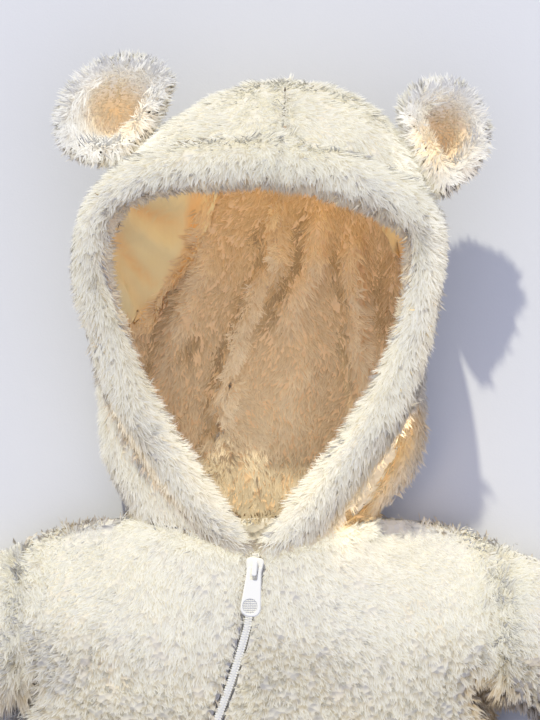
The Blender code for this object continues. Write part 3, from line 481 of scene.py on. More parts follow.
def make_pile(node, suffix, wanted, combs, finish, density, length, width, seed, lean=2.2, glow_paint=None,
              tuft=6, spread=1.5, airy=False, casts=0.0, gather=0.55, wrap=2.4, dark=0.0,
              mid_shade=0.7, inside=False, reach=3.2, gaps=None):
    """Pile on a cloth as meshes of pointed locks, each of four faces: buried root, two flanks, tip.

    Roots are dealt by area times density(points, normals), in tufts of tuft locks, about spread lock
    widths from its middle, and not where a cloth lies within reach over them. A lock leans from the
    cloth's normal towards its combed way; lean is the tangent of that angle. gather is how far the
    tips of a tuft are drawn in, gaps the share of tufts that are short and painted darker, as shade
    in the gaps between tufts, mid_shade how light a lock is where it is widest, between its root's
    painted shade and its tip, wrap how far its normal is turned up. The dark values add painted
    shade to a lock, and the glow values paint an amber glow on it, for light coming through.

    casts is the share of locks that cast a shadow; they are a piece of their own. On an outer pile
    only locks that look down cast, and the camera doesn't see that piece: it is there for its
    shadow. On an inside pile it is seen. An airy pile takes no part in bounced light.
    """
    rng = np.random.default_rng(seed)
    points, triangles, normals, facing_out, edge = cloths[node][1]
    corners = points[triangles]
    cross = np.cross(corners[:, 1] - corners[:, 0], corners[:, 2] - corners[:, 0])
    areas = np.linalg.norm(cross, axis=1) / 2
    centres, face_normals = corners.mean(axis=1), unit(cross)
    by_edge = edge[triangles].max(axis=1)
    share = (areas * density(centres, face_normals) * (1 + MORE_AT_EDGES * by_edge)
             * wanted(centres, face_normals, facing_out[triangles].any(axis=1)))
    busy = np.flatnonzero(share > 0)
    open_faces = uncovered(centres[busy], face_normals[busy], reach)
    share[busy[~open_faces]] = 0
    tufts = max(int(share.sum() / tuft), 1)
    running = np.cumsum(share) / share.sum()
    chosen = np.searchsorted(running, (np.arange(tufts) + rng.random(tufts)) / tufts)
    chosen = chosen.clip(0, len(share) - 1)
    u, v = rng.random((2, tufts, 1))
    flip = u + v > 1
    u, v = np.where(flip, 1 - u, u), np.where(flip, 1 - v, v)
    face = corners[chosen]
    centre = face[:, 0] + u * (face[:, 1] - face[:, 0]) + v * (face[:, 2] - face[:, 0])
    corner_normals = normals[triangles[chosen]]
    up = unit((1 - u - v) * corner_normals[:, 0] + u * corner_normals[:, 1] + v * corner_normals[:, 2])
    size = length(centre)[:, None]
    thick = width(centre)[:, None]
    low = np.zeros((tufts, 1)) if gaps is None else (rng.random(tufts) < gaps(centre))[:, None] * 1.0
    size = size * (1 - LOW_SHORTER * low)

    way = combed(centre, combs)
    spread_of_turn = TURN + TURN_AT_EDGES * by_edge[chosen]
    turn = 0.55 * swirl(centre, 24, seed + 1) + rng.normal(0, 1, tufts) * spread_of_turn
    way = np.column_stack([
        way[:, 0] * np.cos(turn) - way[:, 1] * np.sin(turn),
        way[:, 0] * np.sin(turn) + way[:, 1] * np.cos(turn), np.full(tufts, -0.15)])
    flat = unit(way - up * (way * up).sum(axis=1, keepdims=True))
    across = np.cross(up, flat)

    def each(rows):
        """Each tuft's row, repeated for its locks."""
        return np.repeat(rows, tuft, axis=0)

    def dealt(value):
        """A number, or a function of the tufts' spots, as a column that has a row for each lock."""
        return value if np.isscalar(value) else each(value(centre)[:, None])

    count = tufts * tuft
    step = rng.normal(0, 1, (count, 2)) * each(thick) * dealt(spread)
    ahead, aside = each(flat) * step[:, :1], each(across) * step[:, 1:]
    root = each(centre) + ahead + aside
    uneven = 1 + 0.3 * each(swirl(centre, 15, seed + 2)[:, None])
    lock_lean = dealt(lean) * uneven * rng.uniform(0.6, 1.4, (count, 1))
    own = rng.normal(0, 0.22, (count, 1))
    heading = unit(each(up) + each(flat) * lock_lean + each(across) * own)
    long = each(size) * rng.uniform(0.72, 1.25, (count, 1))
    wide = each(thick) * rng.uniform(0.75, 1.25, (count, 1))
    bend = unit(heading + each(flat) * CURL + each(across) * rng.normal(0, 0.3, (count, 1)))
    middle = root + heading * long * BENDS_AT
    tip = middle + bend * long * (1 - BENDS_AT) - (ahead + aside) * dealt(gather)
    side = unit(np.cross(heading, each(up)))
    front = np.cross(side, heading)
    roll = rng.normal(0, 0.3, (count, 1))
    side, front = (side * np.cos(roll) + front * np.sin(roll),
                   front * np.cos(roll) - side * np.sin(roll))
    base = root - each(up) * ROOT_DEPTH
    spine = base + (tip - base) * WIDEST_AT - front * wide * 0.22
    vertices = np.stack([base, spine - side * wide / 2, spine + side * wide / 2, tip], axis=1)
    vertices[..., 2] = np.maximum(vertices[..., 2], 0.0)

    # Random lightness of each tuft and lock, plus painted shade: the short tufts in the gaps and the
    # dark values make it darker.
    tuft_tone = each(rng.uniform(0, 0.55, (tufts, 1)))
    tone_and_shade = np.clip(tuft_tone + rng.uniform(0, 0.45, (count, 1)), 0, 1).ravel()
    tone_and_shade += LOW_SHADE_PAINT * each(low).ravel()
    tone_and_shade += np.ravel(dealt(dark))
    # Painted glow: locks turned away from the sun get amber mixed in, for light soaking through the
    # pile.
    shade_side_glow_paint = 0.45 * np.clip(0.3 - each(up) @ sun_way, 0, 1)
    glow = np.clip(shade_side_glow_paint + (0 if glow_paint is None else glow_paint(root)), 0, 1)
    skin = unit(each(up) + (0, 0, wrap))
    casting = rng.random(count) < np.ravel(dealt(casts))
    if not inside:
        casting &= each(up)[:, 2] < -0.2
    # The colour runs from the root's painted shade, through the middle value, to the light tip.
    band = np.broadcast_to(np.ravel(dealt(mid_shade)), count)
    height = np.column_stack([np.zeros(count), band, band, np.ones(count)])
    for layer, members in (("", ~casting), ("_shade", casting)):
        locks = np.flatnonzero(members)
        if not len(locks):
            continue
        name = node + suffix + layer
        faces = (np.arange(len(locks))[:, None, None] * 4 + LOCK_FACES[None]).reshape(-1, 3)
        mesh = bpy.data.meshes.new(name)
        mesh.vertices.add(len(locks) * 4)
        placed = to_frame(vertices[locks].reshape(-1, 3)).astype(np.float32)
        mesh.vertices.foreach_set("co", placed.ravel())
        mesh.loops.add(len(faces) * 3)
        mesh.loops.foreach_set("vertex_index", faces.astype(np.int32).ravel())
        mesh.polygons.add(len(faces))
        mesh.polygons.foreach_set("loop_start", np.arange(0, len(faces) * 3, 3, dtype=np.int32))
        mesh.update(calc_edges=True)
        mesh.polygons.foreach_set("use_smooth", np.zeros(len(faces), bool))
        show_attribute(mesh, "height", height[locks].ravel())
        show_attribute(mesh, "tone_and_shade", np.repeat(tone_and_shade[locks], 4))
        show_attribute(mesh, "painted_glow", np.repeat(glow[locks], 4))
        stand = mesh.attributes.new("skin", "FLOAT_VECTOR", "POINT")
        stand.data.foreach_set("vector", np.repeat(skin[locks], 4, axis=0).astype(np.float32).ravel())
        mesh.materials.append(finish)
        pile = bpy.data.objects.new(name, mesh)
        scene.collection.objects.link(pile)
        pile.visible_shadow = layer == "_shade"
        pile.visible_camera = inside or layer == ""
        pile.visible_diffuse = not airy
        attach(pile, "garment")
        piles.setdefault(node, []).append(pile)


# ---------------------------------------------------------------- hood
# Two shaped halves sewn along the crown, lined with their own pile; the rim is turned out as a
# band. Light comes through the crown and glows in the hollow: amber lamps, and amber glow painted
# on the lining's pile.

HOOD_COMB = (
    (14, 235, 0.1, -1), (-34, 230, -0.55, -1), (-73, 196, -0.8, -0.75), (-101, 134, -0.45, -0.9),
    (-100, 60, -0.2, -1), (-62, 56, 0.75, -0.6), (-20, 6, 0.7, -0.7), (56, 227, 0.55, -1),
    (90, 179, 0.7, -0.75), (98, 123, 0.3, -1), (62, 56, -0.3, -1), (22, 11, -0.3, -1), (95, 40, 0.2, -1),
)
INNER_COMB = (
    (-30, 160, -0.8, -0.5), (-50, 125, -0.9, -0.5), (-66, 104, -0.9, -0.6), (-10, 150, -0.2, -1),
    (40, 150, 0.35, -1), (-30, 60, 0.35, -1), (30, 60, -0.25, -1), (0, 0, 0.1, -1),
    (60, 130, 0.6, -0.8),
)
HOOD_CREASES = (
    (-92, 70, -40, -8, 4.5, -2.0), (-98, 95, -78, 30, 6, -1.5), (88, 60, 52, -10, 7, -6.0),
    (-5, 246, 6, 205, 6, 1.5), (40, 240, 34, 205, 7, -1.5), (70, 215, 52, 196, 6, -1.5),
    (-40, 238, -30, 206, 8, -1.5), (-75, 205, -60, 186, 6, -1.2),
)
HOOD_RIDGES = (
    (11, 178, 11, 146, 4, 5.0), (11, 150, -4, 117, 4, 6.0), (-4, 119, -13, 94, 4, 6.0),
    (-13, 97, -17, 72, 4, 6.0), (-17, 76, -19, 47, 4, 6.0), (-19, 50, -30, 28, 4, 5.0),
    (36, 176, 34, 146, 7, 7.0), (34, 148, 16, 112, 8, 7.0), (54, 160, 54, 126, 6, 7.0),
    (54, 130, 62, 74, 6, 7.0), (-28, 176, -30, 140, 7, 5.0), (-29, 144, -42, 110, 7, 5.0),
    (-44, 120, -50, 84, 7, 4.0), (26, 96, 18, 50, 10, 4.0), (-50, 165, -62, 122, 6, 3.0),
    (0, 60, -4, 22, 8, 3.5),
)
# Painted amber glow in the shaded valley beside the band on the wearer's left.
HOOD_GLOW_PAINT = ((88, 58, 48, -14, 11, 1.2),)


def hood_outside(points, normals):
    """Outside faces of the hood point away from an axis through its hollow.

    Beside the neck the hood lies folded lower than that axis, so there any face that looks up
    without turning to the hollow is outside too.
    """
    middle_x, middle_z = 8.0, 46.0
    axis = np.column_stack([
        np.full(len(points), middle_x), np.clip(points[:, 1], 10, 165), np.full(len(points), middle_z)])
    beside = np.abs(points[:, 0] - middle_x) > 42
    folded = beside & (points[:, 1] < 80) & (points[:, 2] > 24) & (normals[:, 2] > 0.25) & (
        np.sign(points[:, 0] - middle_x) * normals[:, 0] > -0.45)
    return (((points - axis) * normals).sum(axis=1) > 0) | folded


def hood_density(points, normals):
    """Close pile where the hood is usually looked at, thin underneath, where locks are wide."""
    inside = ~hood_outside(points, normals)
    seen = np.clip((points[:, 2] - 6) / 14, 0, 1) * np.clip((normals[:, 2] + 0.5) / 0.4, 0, 1)
    return np.where(inside, 0.42, 0.10 + 0.78 * seen)


for node in ("hood_left", "hood_right"):
    make_cloth(node, hood_outside, backing_finish, levels=2, creases=HOOD_CREASES, ridges=HOOD_RIDGES,
               glow_paint=HOOD_GLOW_PAINT, inside_glow_paint=0.85)

BAND_CREASES = (
    (10, 208, 22, 178, 5, 1.8), (26, 210, 34, 184, 6, -1.6), (-40, 200, -52, 186, 7, -1.4),
    (70, 190, 60, 172, 7, -1.6), (100, 120, 84, 118, 7, -1.2), (-102, 110, -84, 100, 7, -1.2),
    (-60, 40, -48, 52, 7, -1.4), (60, 40, 50, 50, 8, -1.4),
)


def band_outside(points, normals):
    """The band is a closed roll, so all of it is outside."""
    return np.ones(len(points), bool)


# The band's cloth casts no shadow, or its pile would go dark.
for node in ("hood_band_left", "hood_band_right"):
    make_cloth(node, band_outside, backing_finish, inset=1.0, creases=BAND_CREASES)
    cloths[node][0].visible_shadow = False

# ---------------------------------------------------------------- facings
# Smooth knitted strips sewn inside the opening's upper sides. They wrinkle softly where the
# band's seam pulls, and amber glow is painted along their folds and edges for the light through
# the crown.

facing_finish, nodes, links, shader = new_material("facing_knit", roughness=0.75, sheen=0.2)
knit = pattern(nodes, links, "Wave", 420)
knit.inputs["Distortion"].default_value = 1.5
relief(nodes, links, shader, knit.outputs["Fac"], strength=0.25, distance=0.0003)
tint = pattern(nodes, links, "Noise", 22)
shades = nodes.new("ShaderNodeValToRGB")
shades.color_ramp.elements[0].position = 0.35
shades.color_ramp.elements[0].color = (0.72, 0.57, 0.29, 1)
shades.color_ramp.elements[1].position = 0.68
shades.color_ramp.elements[1].color = (0.80, 0.69, 0.39, 1)
links.new(tint.outputs["Fac"], shades.inputs["Fac"])
# Painted amber glow mixed into the knit along the glow strokes.
glow_tinted = nodes.new("ShaderNodeMix")
glow_tinted.data_type = "RGBA"
glow_tinted.inputs[7].default_value = (0.84, 0.46, 0.16, 1)
folded = nodes.new("ShaderNodeAttribute")
folded.attribute_name = "painted_glow"
links.new(folded.outputs["Fac"], glow_tinted.inputs[0])
links.new(shades.outputs["Color"], glow_tinted.inputs[6])
links.new(glow_tinted.outputs[2], shader.inputs["Base Color"])

FACING_CREASES = (
    (-84, 178, -50, 150, 3, 3.2), (-86, 170, -60, 132, 3, -3.0), (-88, 160, -74, 120, 3, 3.0),
    (-78, 180, -44, 168, 3, -2.8), (82, 160, 66, 130, 4, 3.0), (86, 150, 78, 110, 4, -2.6),
    (-84, 150, -62, 118, 4, -2.6), (-80, 140, -70, 108, 3, 2.5), (-60, 184, -36, 176, 3, 2.6),
    (-70, 176, -40, 158, 3, -2.4), (-36, 190, -38, 150, 4, -3.0), (-38, 155, -54, 122, 4, -3.0),
    (-52, 126, -76, 104, 4, -3.0),
)
# Strokes of painted amber glow along the facings' folds and borders.
FACING_GLOW_PAINT = (
    (-34, 190, -36, 148, 4, 0.9), (-36, 152, -52, 122, 4, 0.9), (-50, 126, -70, 106, 4, 0.7),
    (-86, 170, -60, 132, 3, 0.35), (-78, 180, -44, 168, 3, 0.3), (84, 160, 78, 100, 8, 0.7),
)
FACING_BORDER = (
    (-26, 192, -30, 160, 5, 1.0), (-30, 164, -44, 130, 5, 1.0), (-44, 134, -60, 108, 5, 1.0),
    (-56, 110, -80, 106, 5, 1.0), (66, 176, 70, 140, 4, 1.0), (70, 144, 74, 104, 4, 1.0),
)


def facing_seen(points, normals):
    """The facing is seen on its inner face, so its creases rise that way."""
    return ~hood_outside(points, normals)


for node in ("hood_facing_left", "hood_facing_right"):
    make_cloth(node, facing_seen, facing_finish, levels=2, inset=0.0,
               creases=FACING_CREASES, glow_paint=FACING_GLOW_PAINT)

# ---------------------------------------------------------------- hood pile
# The pile covers the hood outside and in; it is combed down from the crown and out over the cheeks.

def outer_only(points, normals, outside):
    return outside


def hood_inside(points, normals, outside):
    return (~hood_outside(points, normals)) & (normals[:, 2] > -0.75)


def fixed(value):
    return lambda points: np.full(len(points), float(value))


def coarse_below(fine, coarse, line=8, blend=16):
    """A size that grows from fine, in view, to coarse next to the table."""
    return lambda points: coarse + (fine - coarse) * np.clip((points[:, 2] - line) / blend, 0, 1)


BACK_SEAM = (
    (11, 182, 11, 146, 2.0, 1), (11, 148, -4, 117, 2.0, 1), (-4, 118, -13, 94, 2.0, 1),
    (-13, 95, -17, 72, 2.0, 1), (-17, 74, -19, 47, 2.0, 1), (-19, 48, -30, 24, 2.0, 1),
)
INNER_TROUGHS = (
    (2, 172, 2, 146, 3.0, 0.8), (2, 150, -12, 112, 3.0, 1.0), (-12, 116, -25, 76, 3.0, 1.2),
    (-25, 82, -28, 50, 3.0, 1.0), (-28, 54, -38, 30, 3.0, 0.8), (27, 176, 22, 146, 4.5, 1.2),
    (23, 150, 4, 108, 4.5, 1.3), (45, 160, 46, 126, 3.2, 1.0), (46, 132, 54, 70, 3.2, 1.0),
    (-36, 182, -38, 142, 3.5, 0.8), (-38, 146, -51, 118, 3.5, 0.9), (-51, 120, -63, 88, 4, 0.8),
    (-46, 92, -34, 108, 4, 1.0), (-63, 90, -60, 72, 3, 0.8), (70, 150, 72, 104, 5, 0.9),
)


def inner_glow_paint(points):
    """Painted amber glow: deep under the crown and in the troughs, paler at the ridges and the collar.
    """
    folds = along_strokes(points, INNER_TROUGHS) * 0.45 - along_strokes(points, HOOD_RIDGES) * 0.05
    return np.clip(0.2 + (points[:, 1] - 10) / 230 + folds, 0, 1)


def inner_shade_paint(points):
    """Painted shade in the troughs and over the sunlit patch, painted light along the ridges."""
    ridge = (along_strokes(points, HOOD_RIDGES) / 6).clip(0, 1)
    trough = along_strokes(points, INNER_TROUGHS).clip(0, 1.2)
    sunlit = points[:, 1] < 39
    return 0.6 + 1.5 * trough - 0.6 * ridge + 0.8 * sunlit


def inner_casts(points):
    """The locks shade each other in the hollow, and not where the sun reaches."""
    return 0.45 * np.clip((points[:, 1] - 25) / 35, 0, 1)


for node, seed in (("hood_left", 11), ("hood_right", 12)):
    make_pile(
        node, "_pile", outer_only, HOOD_COMB, pile_finish, hood_density, fixed(7.0),
        coarse_below(1.0, 2.0), seed, mid_shade=0.75, casts=lambda points: 0.8 * (points[:, 1] > 70),
        glow_paint=lambda points: along_strokes(points, HOOD_GLOW_PAINT))
    make_pile(
        node, "_inner_pile", hood_inside, INNER_COMB, inner_finish,
        lambda points, normals: 0.50 * (along_strokes(points, BACK_SEAM) < 0.5), fixed(8.0),
        fixed(1.25), seed + 20, lean=1.7, glow_paint=inner_glow_paint, airy=True, casts=inner_casts, wrap=0.0,
        dark=inner_shade_paint, mid_shade=0.5, inside=True)
    make_pile(
        node, "_seam_pile", hood_inside, INNER_COMB, inner_finish,
        lambda points, normals: 1.3 * (along_strokes(points, BACK_SEAM) > 0.4), fixed(6.5), fixed(1.0),
        seed + 30, lean=1.0, glow_paint=lambda points: 0.5 * inner_glow_paint(points), airy=True, casts=0.35,
        wrap=0.0, mid_shade=0.75, inside=True)

# The band's pile has less painted shade on the wearer's left, as painted light on that side.
for node, seed in (("hood_band_left", 31), ("hood_band_right", 32)):
    make_pile(
        node, "_pile", outer_only, HOOD_COMB, pile_finish,
        lambda points, normals: 0.3 + 0.7 * np.clip((normals[:, 2] + 0.6) / 0.4, 0, 1), fixed(7.5),
        fixed(1.05), seed, mid_shade=lambda points: np.where(points[:, 0] > 0, 0.85, 0.65))

# The pile of the hood brushes over the facings' edges.
for node, seed in (("hood_facing_left", 35), ("hood_facing_right", 36)):
    make_pile(
        node, "_fringe", lambda points, normals, outside: outside & (normals[:, 2] > -0.2), INNER_COMB,
        inner_finish, lambda points, normals: 0.5 * (along_strokes(points, FACING_BORDER) > 0.3),
        fixed(7.5), fixed(1.3), seed, lean=2.0, glow_paint=inner_glow_paint, airy=True, casts=0.5, wrap=0.0,
        mid_shade=0.5, inside=True)

# The band's inner edge hangs into the opening, in its own shade.
OPENING = (10, 120)


def towards_opening(points, normals, outside):
    way = unit(np.array(OPENING) - points[:, :2])
    return ((normals[:, :2] * way).sum(axis=1) > 0.35) & (normals[:, 2] < 0.5) & (points[:, 1] > 8)


inward = [(OPENING[0] + 80 * math.cos(a), OPENING[1] + 80 * math.sin(a), -math.cos(a), -math.sin(a))
          for a in np.linspace(0, 2 * math.pi, 16, endpoint=False)]
for node, seed in (("hood_band_left", 37), ("hood_band_right", 38)):
    make_pile(
        node, "_upper_fringe", towards_opening, inward, inner_finish,
        lambda points, normals: 0.8 * (points[:, 1] > 105), fixed(8.5), fixed(1.2), seed, lean=1.0,
        airy=True, wrap=0.0, casts=0.5, mid_shade=0.6, inside=True)
    make_pile(
        node, "_lower_fringe", towards_opening, HOOD_COMB, pile_finish,
        lambda points, normals: 0.8 * (points[:, 1] <= 105), fixed(8.5), fixed(1.1), seed + 2, lean=1.0,
        mid_shade=0.75)

# ---------------------------------------------------------------- ears
# Each ear is two round plush layers sewn at the edge, cupped, and sewn to the crown.

for name in ("left", "right"):
    low, high = (from_collar(np.array(corner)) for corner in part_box(f"ear_{name}_outer"))
    mouth = np.array(((low[0] + high[0]) / 2, (low[1] + high[1]) / 2, high[2] + 14))

    def away(points, normals, mouth=mouth):
        return ((points - mouth) * normals).sum(axis=1) > 0

    def towards(points, normals, mouth=mouth):
        return ((points - mouth) * normals).sum(axis=1) < 0

    # Painted amber glow in the middle of each ear's cloth, for light coming through the cup.
    cup = ((mouth[0] - 7, mouth[1], mouth[0] + 7, mouth[1], 13, 1.0),)
    for layer, outward in (("outer", away), ("inner", towards)):
        make_cloth(f"ear_{name}_{layer}", outward, backing_finish, inset=0.5, glow_paint=cup)

for name, seed in (("left", 41), ("right", 43)):
    low, high = (from_collar(np.array(corner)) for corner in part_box(f"ear_{name}_outer"))
    mid = (low + high) / 2
    around = np.linspace(0, 2 * math.pi, 12, endpoint=False)
    radial = [(mid[0] + 20 * math.cos(a), mid[1] + 20 * math.sin(a), math.cos(a), math.sin(a))
              for a in around]

    def cup_length(points, mid=mid):
        return 5.0 + 5.5 * np.clip(np.hypot(points[:, 0] - mid[0], points[:, 1] - mid[1]) / 22, 0, 1)

    # Painted amber glow in the ear's hollow; the pile there has more painted shade at its middles.
    def cup_glow_paint(points, mid=mid):
        x, y = (points[:, 0] - mid[0]) / 14, (points[:, 1] - mid[1]) / 15
        return 0.75 * np.exp(-(x ** 2 + y ** 2) ** 2)

    make_pile(
        f"ear_{name}_outer", "_pile", outer_only, radial, pile_finish,
        lambda points, normals: np.full(len(points), 0.9), fixed(7.5), fixed(1.2), seed, lean=1.3,
        mid_shade=0.8, casts=0.5)
    make_pile(
        f"ear_{name}_inner", "_pile", outer_only, radial, pile_finish,
        lambda points, normals: np.full(len(points), 0.75), cup_length, fixed(1.2), seed + 1, lean=0.9,
        glow_paint=cup_glow_paint, mid_shade=lambda points: 0.8 - 0.4 * cup_glow_paint(points), airy=True)

# ---------------------------------------------------------------- body and sleeves
# Four body panels and two sleeves of the same plush, sewn at the sides, the crotch and the legs,
# with the zip set into the front from the collar to the wearer's right leg.

BODY_COMB = (
    (0, -60, 0.0, -1), (-60, -50, -0.15, -1), (60, -50, 0.2, -1), (-120, -40, -0.55, -0.8),
    (120, -40, 0.6, -0.8), (0, -200, 0.0, -1), (-90, -460, -0.1, -1), (90, -460, 0.1, -1),
    (-220, -110, -1, -0.5), (220, -110, 1, -0.5),
)


CROTCH_Y = -352


def body_outside(points, normals):
    """Outside faces of the body and legs point away from axes through the trunk and each leg."""
    legs = points[:, 1] < CROTCH_Y
    centre_x = np.where(legs, np.sign(points[:, 0]) * 80, np.clip(points[:, 0], -90, 90))
    axis = np.column_stack([centre_x, points[:, 1], np.full(len(points), 22.0)])
    return ((points - axis) * normals).sum(axis=1) > 0


def sleeve_outside(points, normals):
    """Outside faces of a sleeve point away from the line through its middle."""
    side = np.sign(points[:, 0])
    start = np.column_stack([side * 132, np.full(len(points), -59.0), np.full(len(points), 23.0)])
    way = np.column_stack([side * 140, np.full(len(points), -82.0), np.full(len(points), -6.0)])
    way = unit(way)
    run = ((points - start) * way).sum(axis=1, keepdims=True)
    return ((points - start - way * run) * normals).sum(axis=1) > 0


# The zip's middle line and its height, read off the chain's own rows of vertices.
chain_points = mesh_arrays(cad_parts["zip_chain"].data)[0]
chain_points = chain_points[np.argsort(chain_points[:, 1])]
stations = np.split(chain_points, np.flatnonzero(np.diff(chain_points[:, 1]) > 2.2) + 1)
chain_rows, chain_x, chain_top = np.array(
    [(station[:, 1].mean(), station[:, 0].mean(), station[:, 2].max()) for station in stations]).T


def from_zip(points):
    """Distance from the zip's middle line to the wearer's left; far off beyond its ends."""
    off = points[:, 0] - np.interp(points[:, 1], chain_rows, chain_x)
    beyond = (points[:, 1] < chain_rows[0] - 4) | (points[:, 1] > chain_rows[-1] + 8)
    return np.where(beyond, 99.0, off)


def in_view(points, under=1):
    """1 on the chest and shoulders, falling to 0 down the trunk, out along the sleeves and, by the
    share under, towards the table."""
    down = np.clip((points[:, 1] + 128) / 12, 0, 1)
    out = np.clip((170 - np.abs(points[:, 0])) / 12, 0, 1)
    low = np.clip((points[:, 2] - 8) / 16, 1 - under, 1)
    return down * out * low


def body_density(points, normals):
    """Close pile on the chest, thin elsewhere, none on the zip or on the lips turned in at its seams."""
    clear = (from_zip(points) > 4.1) | (from_zip(points) < -4.2) | (points[:, 2] < 25)
    turned_in = (points[:, 1] > -45) & (
        ((points[:, 2] > 19.5) & (normals[:, 2] < -0.3))
        | ((points[:, 2] > 16) & (normals[:, 1] < -0.4)))
    return (0.085 + 0.71 * in_view(points)) * clear * ~turned_in


BODY_CREASES = (
    (-95, -78, -78, -92, 7, -4.0), (128, -92, 140, -116, 8, -7.0), (-120, -30, -100, -60, 9, -1.6),
    (80, -40, 108, -70, 10, -1.6), (-60, -60, -30, -100, 9, -1.5), (30, -80, 60, -110, 10, -1.5),
    (-70, -150, 10, -190, 9, -3.0), (60, -160, 120, -150, 10, -3.0), (-110, -230, -60, -250, 9, -2.5),
    (20, -260, 90, -290, 10, -3.5), (-120, -330, -60, -350, 10, -4.0), (30, -350, 100, -345, 10, -4.0),
    (-110, -420, -50, -430, 9, -3.0), (50, -430, 110, -415, 9, -3.0), (-100, -480, -60, -490, 8, -2.5),
    (60, -480, 105, -488, 8, -2.5),
)
# Painted amber glow in the shaded hollow of the armpit on the wearer's left.
BODY_GLOW_PAINT = ((126, -94, 138, -118, 9, 0.9),)
SLEEVE_CREASES = (
    (150, -60, 160, -110, 8, -3.0), (-150, -60, -160, -110, 8, -3.0), (190, -70, 205, -130, 9, -3.5),
    (-190, -70, -205, -130, 9, -3.5), (225, -90, 240, -140, 9, -3.0), (-225, -90, -240, -140, 9, -3.0),
)
BODY_PANELS = (
    ("front_left", body_outside, BODY_CREASES, 51), ("front_right", body_outside, BODY_CREASES, 52),
    ("back_left", body_outside, BODY_CREASES, 53), ("back_right", body_outside, BODY_CREASES, 54),
    ("sleeve_left", sleeve_outside, SLEEVE_CREASES, 55),
    ("sleeve_right", sleeve_outside, SLEEVE_CREASES, 56),
)
for node, outward, creases, _ in BODY_PANELS:
    make_cloth(node, outward, backing_finish, creases=creases, glow_paint=BODY_GLOW_PAINT)


def body_length(points):
    """Short beside the zip and on the shoulders, long in the armpit and down the armholes."""
    by_zip = np.clip((np.abs(from_zip(points)) - 4) / 9, 0, 1)
    pit = np.exp(-((points[:, 0] + 137) ** 2 + (points[:, 1] + 106) ** 2) / 16 ** 2)
    armhole = np.exp(-((np.abs(points[:, 0]) - 132) / 8) ** 2)
    shoulder = np.clip((28 - points[:, 2]) / 8, 0, 1) * np.clip((points[:, 1] + 50) / 15, 0, 1)
    plain = (9.5 - 3.0 * in_view(points, 0)) * (0.55 + 0.45 * by_zip)
    return (plain + 7.0 * pit + 3.5 * armhole) * (1 - 0.6 * shoulder)


def loose(points):
    """0 on the smooth upper chest, growing to 1 where the pile stands in round tufts lower down."""
    uneven = 14 * swirl(points, 30, 7)
    return np.clip((-58 - points[:, 1] + uneven) / 32, 0, 1) * np.clip((points[:, 1] + 150) / 20, 0, 1)


def body_lean(points):
    return 2.2 - 1.7 * loose(points)


def body_gather(points):
    return 0.5 + 0.7 * loose(points)


def body_width(points):
    return 3.2 - 2.0 * in_view(points)


# Lower on the chest the locks carry more painted shade, and a share of short tufts is painted darker, as
# shade between round tufts.
for node, _, _, seed in BODY_PANELS:
    make_pile(
        node, "_pile", outer_only, BODY_COMB, pile_finish, body_density, body_length, body_width, seed,
        lean=body_lean, gather=body_gather, reach=1.0, tuft=9,
        mid_shade=lambda points: 0.95 - 0.85 * loose(points),
        spread=lambda points: 1.6 - 0.85 * loose(points), gaps=lambda points: 0.35 * loose(points),
        glow_paint=lambda points: along_strokes(points, BODY_GLOW_PAINT))

# ---------------------------------------------------------------- zip
# A white moulded zip: a toothed chain on two woven tapes, a slider, and a long pull with a
# round knurled thumb rest that swings on the slider's bridge.

moulded, nodes, links, shader = new_material(
    "white_moulded_plastic", roughness=0.28, specular=0.5, coat=0.3)
shader.inputs["Base Color"].default_value = (0.86, 0.84, 0.76, 1)
orange_peel = pattern(nodes, links, "Noise", 700)
relief(nodes, links, shader, orange_peel.outputs["Fac"], strength=0.08, distance=0.0002)

# The thumb rest has fine knurls, in rows, inside its round recess.
THUMB_REST = (-5.6, -48.2, 0)
knurled = moulded.copy()
knurled.name = "knurled_plastic"
nodes, links = knurled.node_tree.nodes, knurled.node_tree.links
shader = nodes["Principled BSDF"]
place = nodes.new("ShaderNodeTexCoord")
from_rest = nodes.new("ShaderNodeVectorMath")
from_rest.operation = "SUBTRACT"
from_rest.inputs[1].default_value = to_frame(THUMB_REST)
links.new(place.outputs["Object"], from_rest.inputs[0])
level = nodes.new("ShaderNodeVectorMath")
level.operation = "MULTIPLY"
level.inputs[1].default_value = (1, 1, 0)
links.new(from_rest.outputs["Vector"], level.inputs[0])
reach = nodes.new("ShaderNodeVectorMath")
reach.operation = "LENGTH"
links.new(level.outputs["Vector"], reach.inputs[0])
within = nodes.new("ShaderNodeMapRange")
within.inputs["From Min"].default_value = 0.0040
within.inputs["From Max"].default_value = 0.0044
within.inputs["To Min"].default_value = 1.0
within.inputs["To Max"].default_value = 0.0
links.new(reach.outputs["Value"], within.inputs["Value"])
rows = nodes.new("ShaderNodeTexVoronoi")
rows.inputs["Scale"].default_value = 1000
rows.inputs["Randomness"].default_value = 0.0
links.new(level.outputs["Vector"], rows.inputs["Vector"])
inside_rest = nodes.new("ShaderNodeMath")
inside_rest.operation = "MULTIPLY"
links.new(rows.outputs["Distance"], inside_rest.inputs[0])
links.new(within.outputs["Result"], inside_rest.inputs[1])
knurls = relief(nodes, links, shader, inside_rest.outputs["Value"], strength=0.9, distance=0.0012)
knurls.invert = True

woven, nodes, links, shader = new_material("woven_tape", specular=0.25, sheen=0.15)
shader.inputs["Base Color"].default_value = (0.82, 0.80, 0.74, 1)
weave = pattern(nodes, links, "Wave", 600)
relief(nodes, links, shader, weave.outputs["Fac"], strength=0.4, distance=0.0003)
for node, finish in (("zip_pull", knurled), ("zip_slider", moulded), ("zip_chain", moulded),
                     ("zip_tape_left", woven), ("zip_tape_right", woven)):
    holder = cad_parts[node]
    holder.data.materials.clear()
    holder.data.materials.append(finish)

# The pull lies close on the chest and its shadow is left out.
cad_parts["zip_pull"].visible_shadow = False


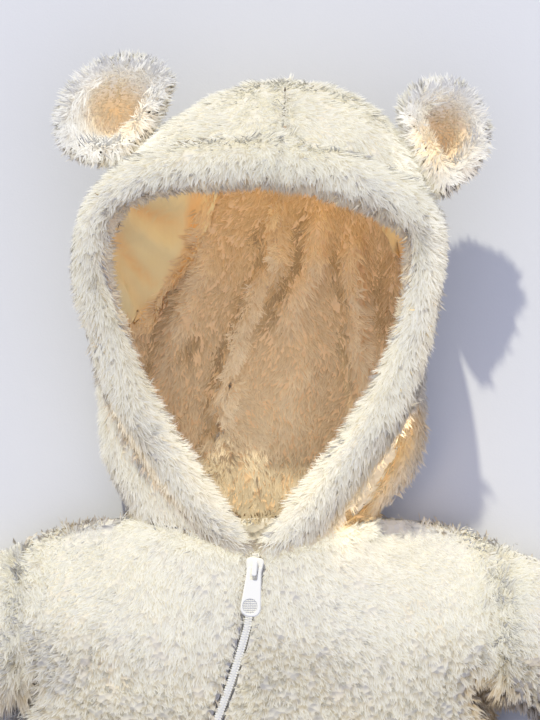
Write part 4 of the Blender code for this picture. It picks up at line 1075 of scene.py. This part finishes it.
def toothed_chain(rows, middle_x, top, pitch=1.45, tooth=(2.5, 0.85, 1.5)):
    """Two interlocking rows of moulded teeth along the chain's own middle line.

    Each tooth is a block with its upper edges drawn in: eight corners swept along the line and
    turned square to it.
    """
    run = np.concatenate([[0], np.cumsum(np.hypot(np.diff(middle_x), np.diff(rows)))])
    at = np.arange(1.0, run[-1] - 1, pitch / 2)
    x, y, z = np.interp(at, run, middle_x), np.interp(at, run, rows), np.interp(at, run, top)
    way = unit(np.column_stack([np.gradient(x), np.gradient(y)]))
    side = np.where(np.arange(len(at)) % 2 == 0, 1.0, -1.0)
    long, thick, high = tooth
    corners = np.array([
        (a, b, c) for c in (0, 1) for a, b in ((-0.5, -1), (2.0, -1), (2.0, 1), (-0.5, 1))])
    shrink = np.where(corners[:, 2] == 1, 0.6, 1.0)
    off = corners[:, 0] * long / 2 * np.where(corners[:, 2] == 1, 0.85, 1)
    forth = corners[:, 1] * thick / 2 * shrink
    across = np.column_stack([way[:, 1], -way[:, 0]]) * side[:, None]
    px = x[:, None] + across[:, :1] * off + way[:, :1] * forth
    py = y[:, None] + across[:, 1:] * off + way[:, 1:] * forth
    pz = z[:, None] - high * 0.75 + corners[None, :, 2] * high
    vertices = np.stack([px, py, np.broadcast_to(pz, px.shape)], axis=2)
    block = np.array([
        (0, 3, 2, 1), (4, 5, 6, 7), (0, 1, 5, 4), (1, 2, 6, 5), (2, 3, 7, 6), (3, 0, 4, 7)])
    turned = np.where(side[:, None, None] > 0, block[None], block[None, :, ::-1])
    faces = (turned + np.arange(len(at))[:, None, None] * 8).reshape(-1, 4)
    return vertices.reshape(-1, 3), faces


vertices, faces = toothed_chain(chain_rows[::-1], chain_x[::-1], chain_top[::-1])
mesh = bpy.data.meshes.new("zip_teeth")
mesh.from_pydata(to_frame(vertices).tolist(), [], faces.tolist())
mesh.materials.append(moulded)
teeth = bpy.data.objects.new("zip_teeth", mesh)
scene.collection.objects.link(teeth)
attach(teeth, "garment")
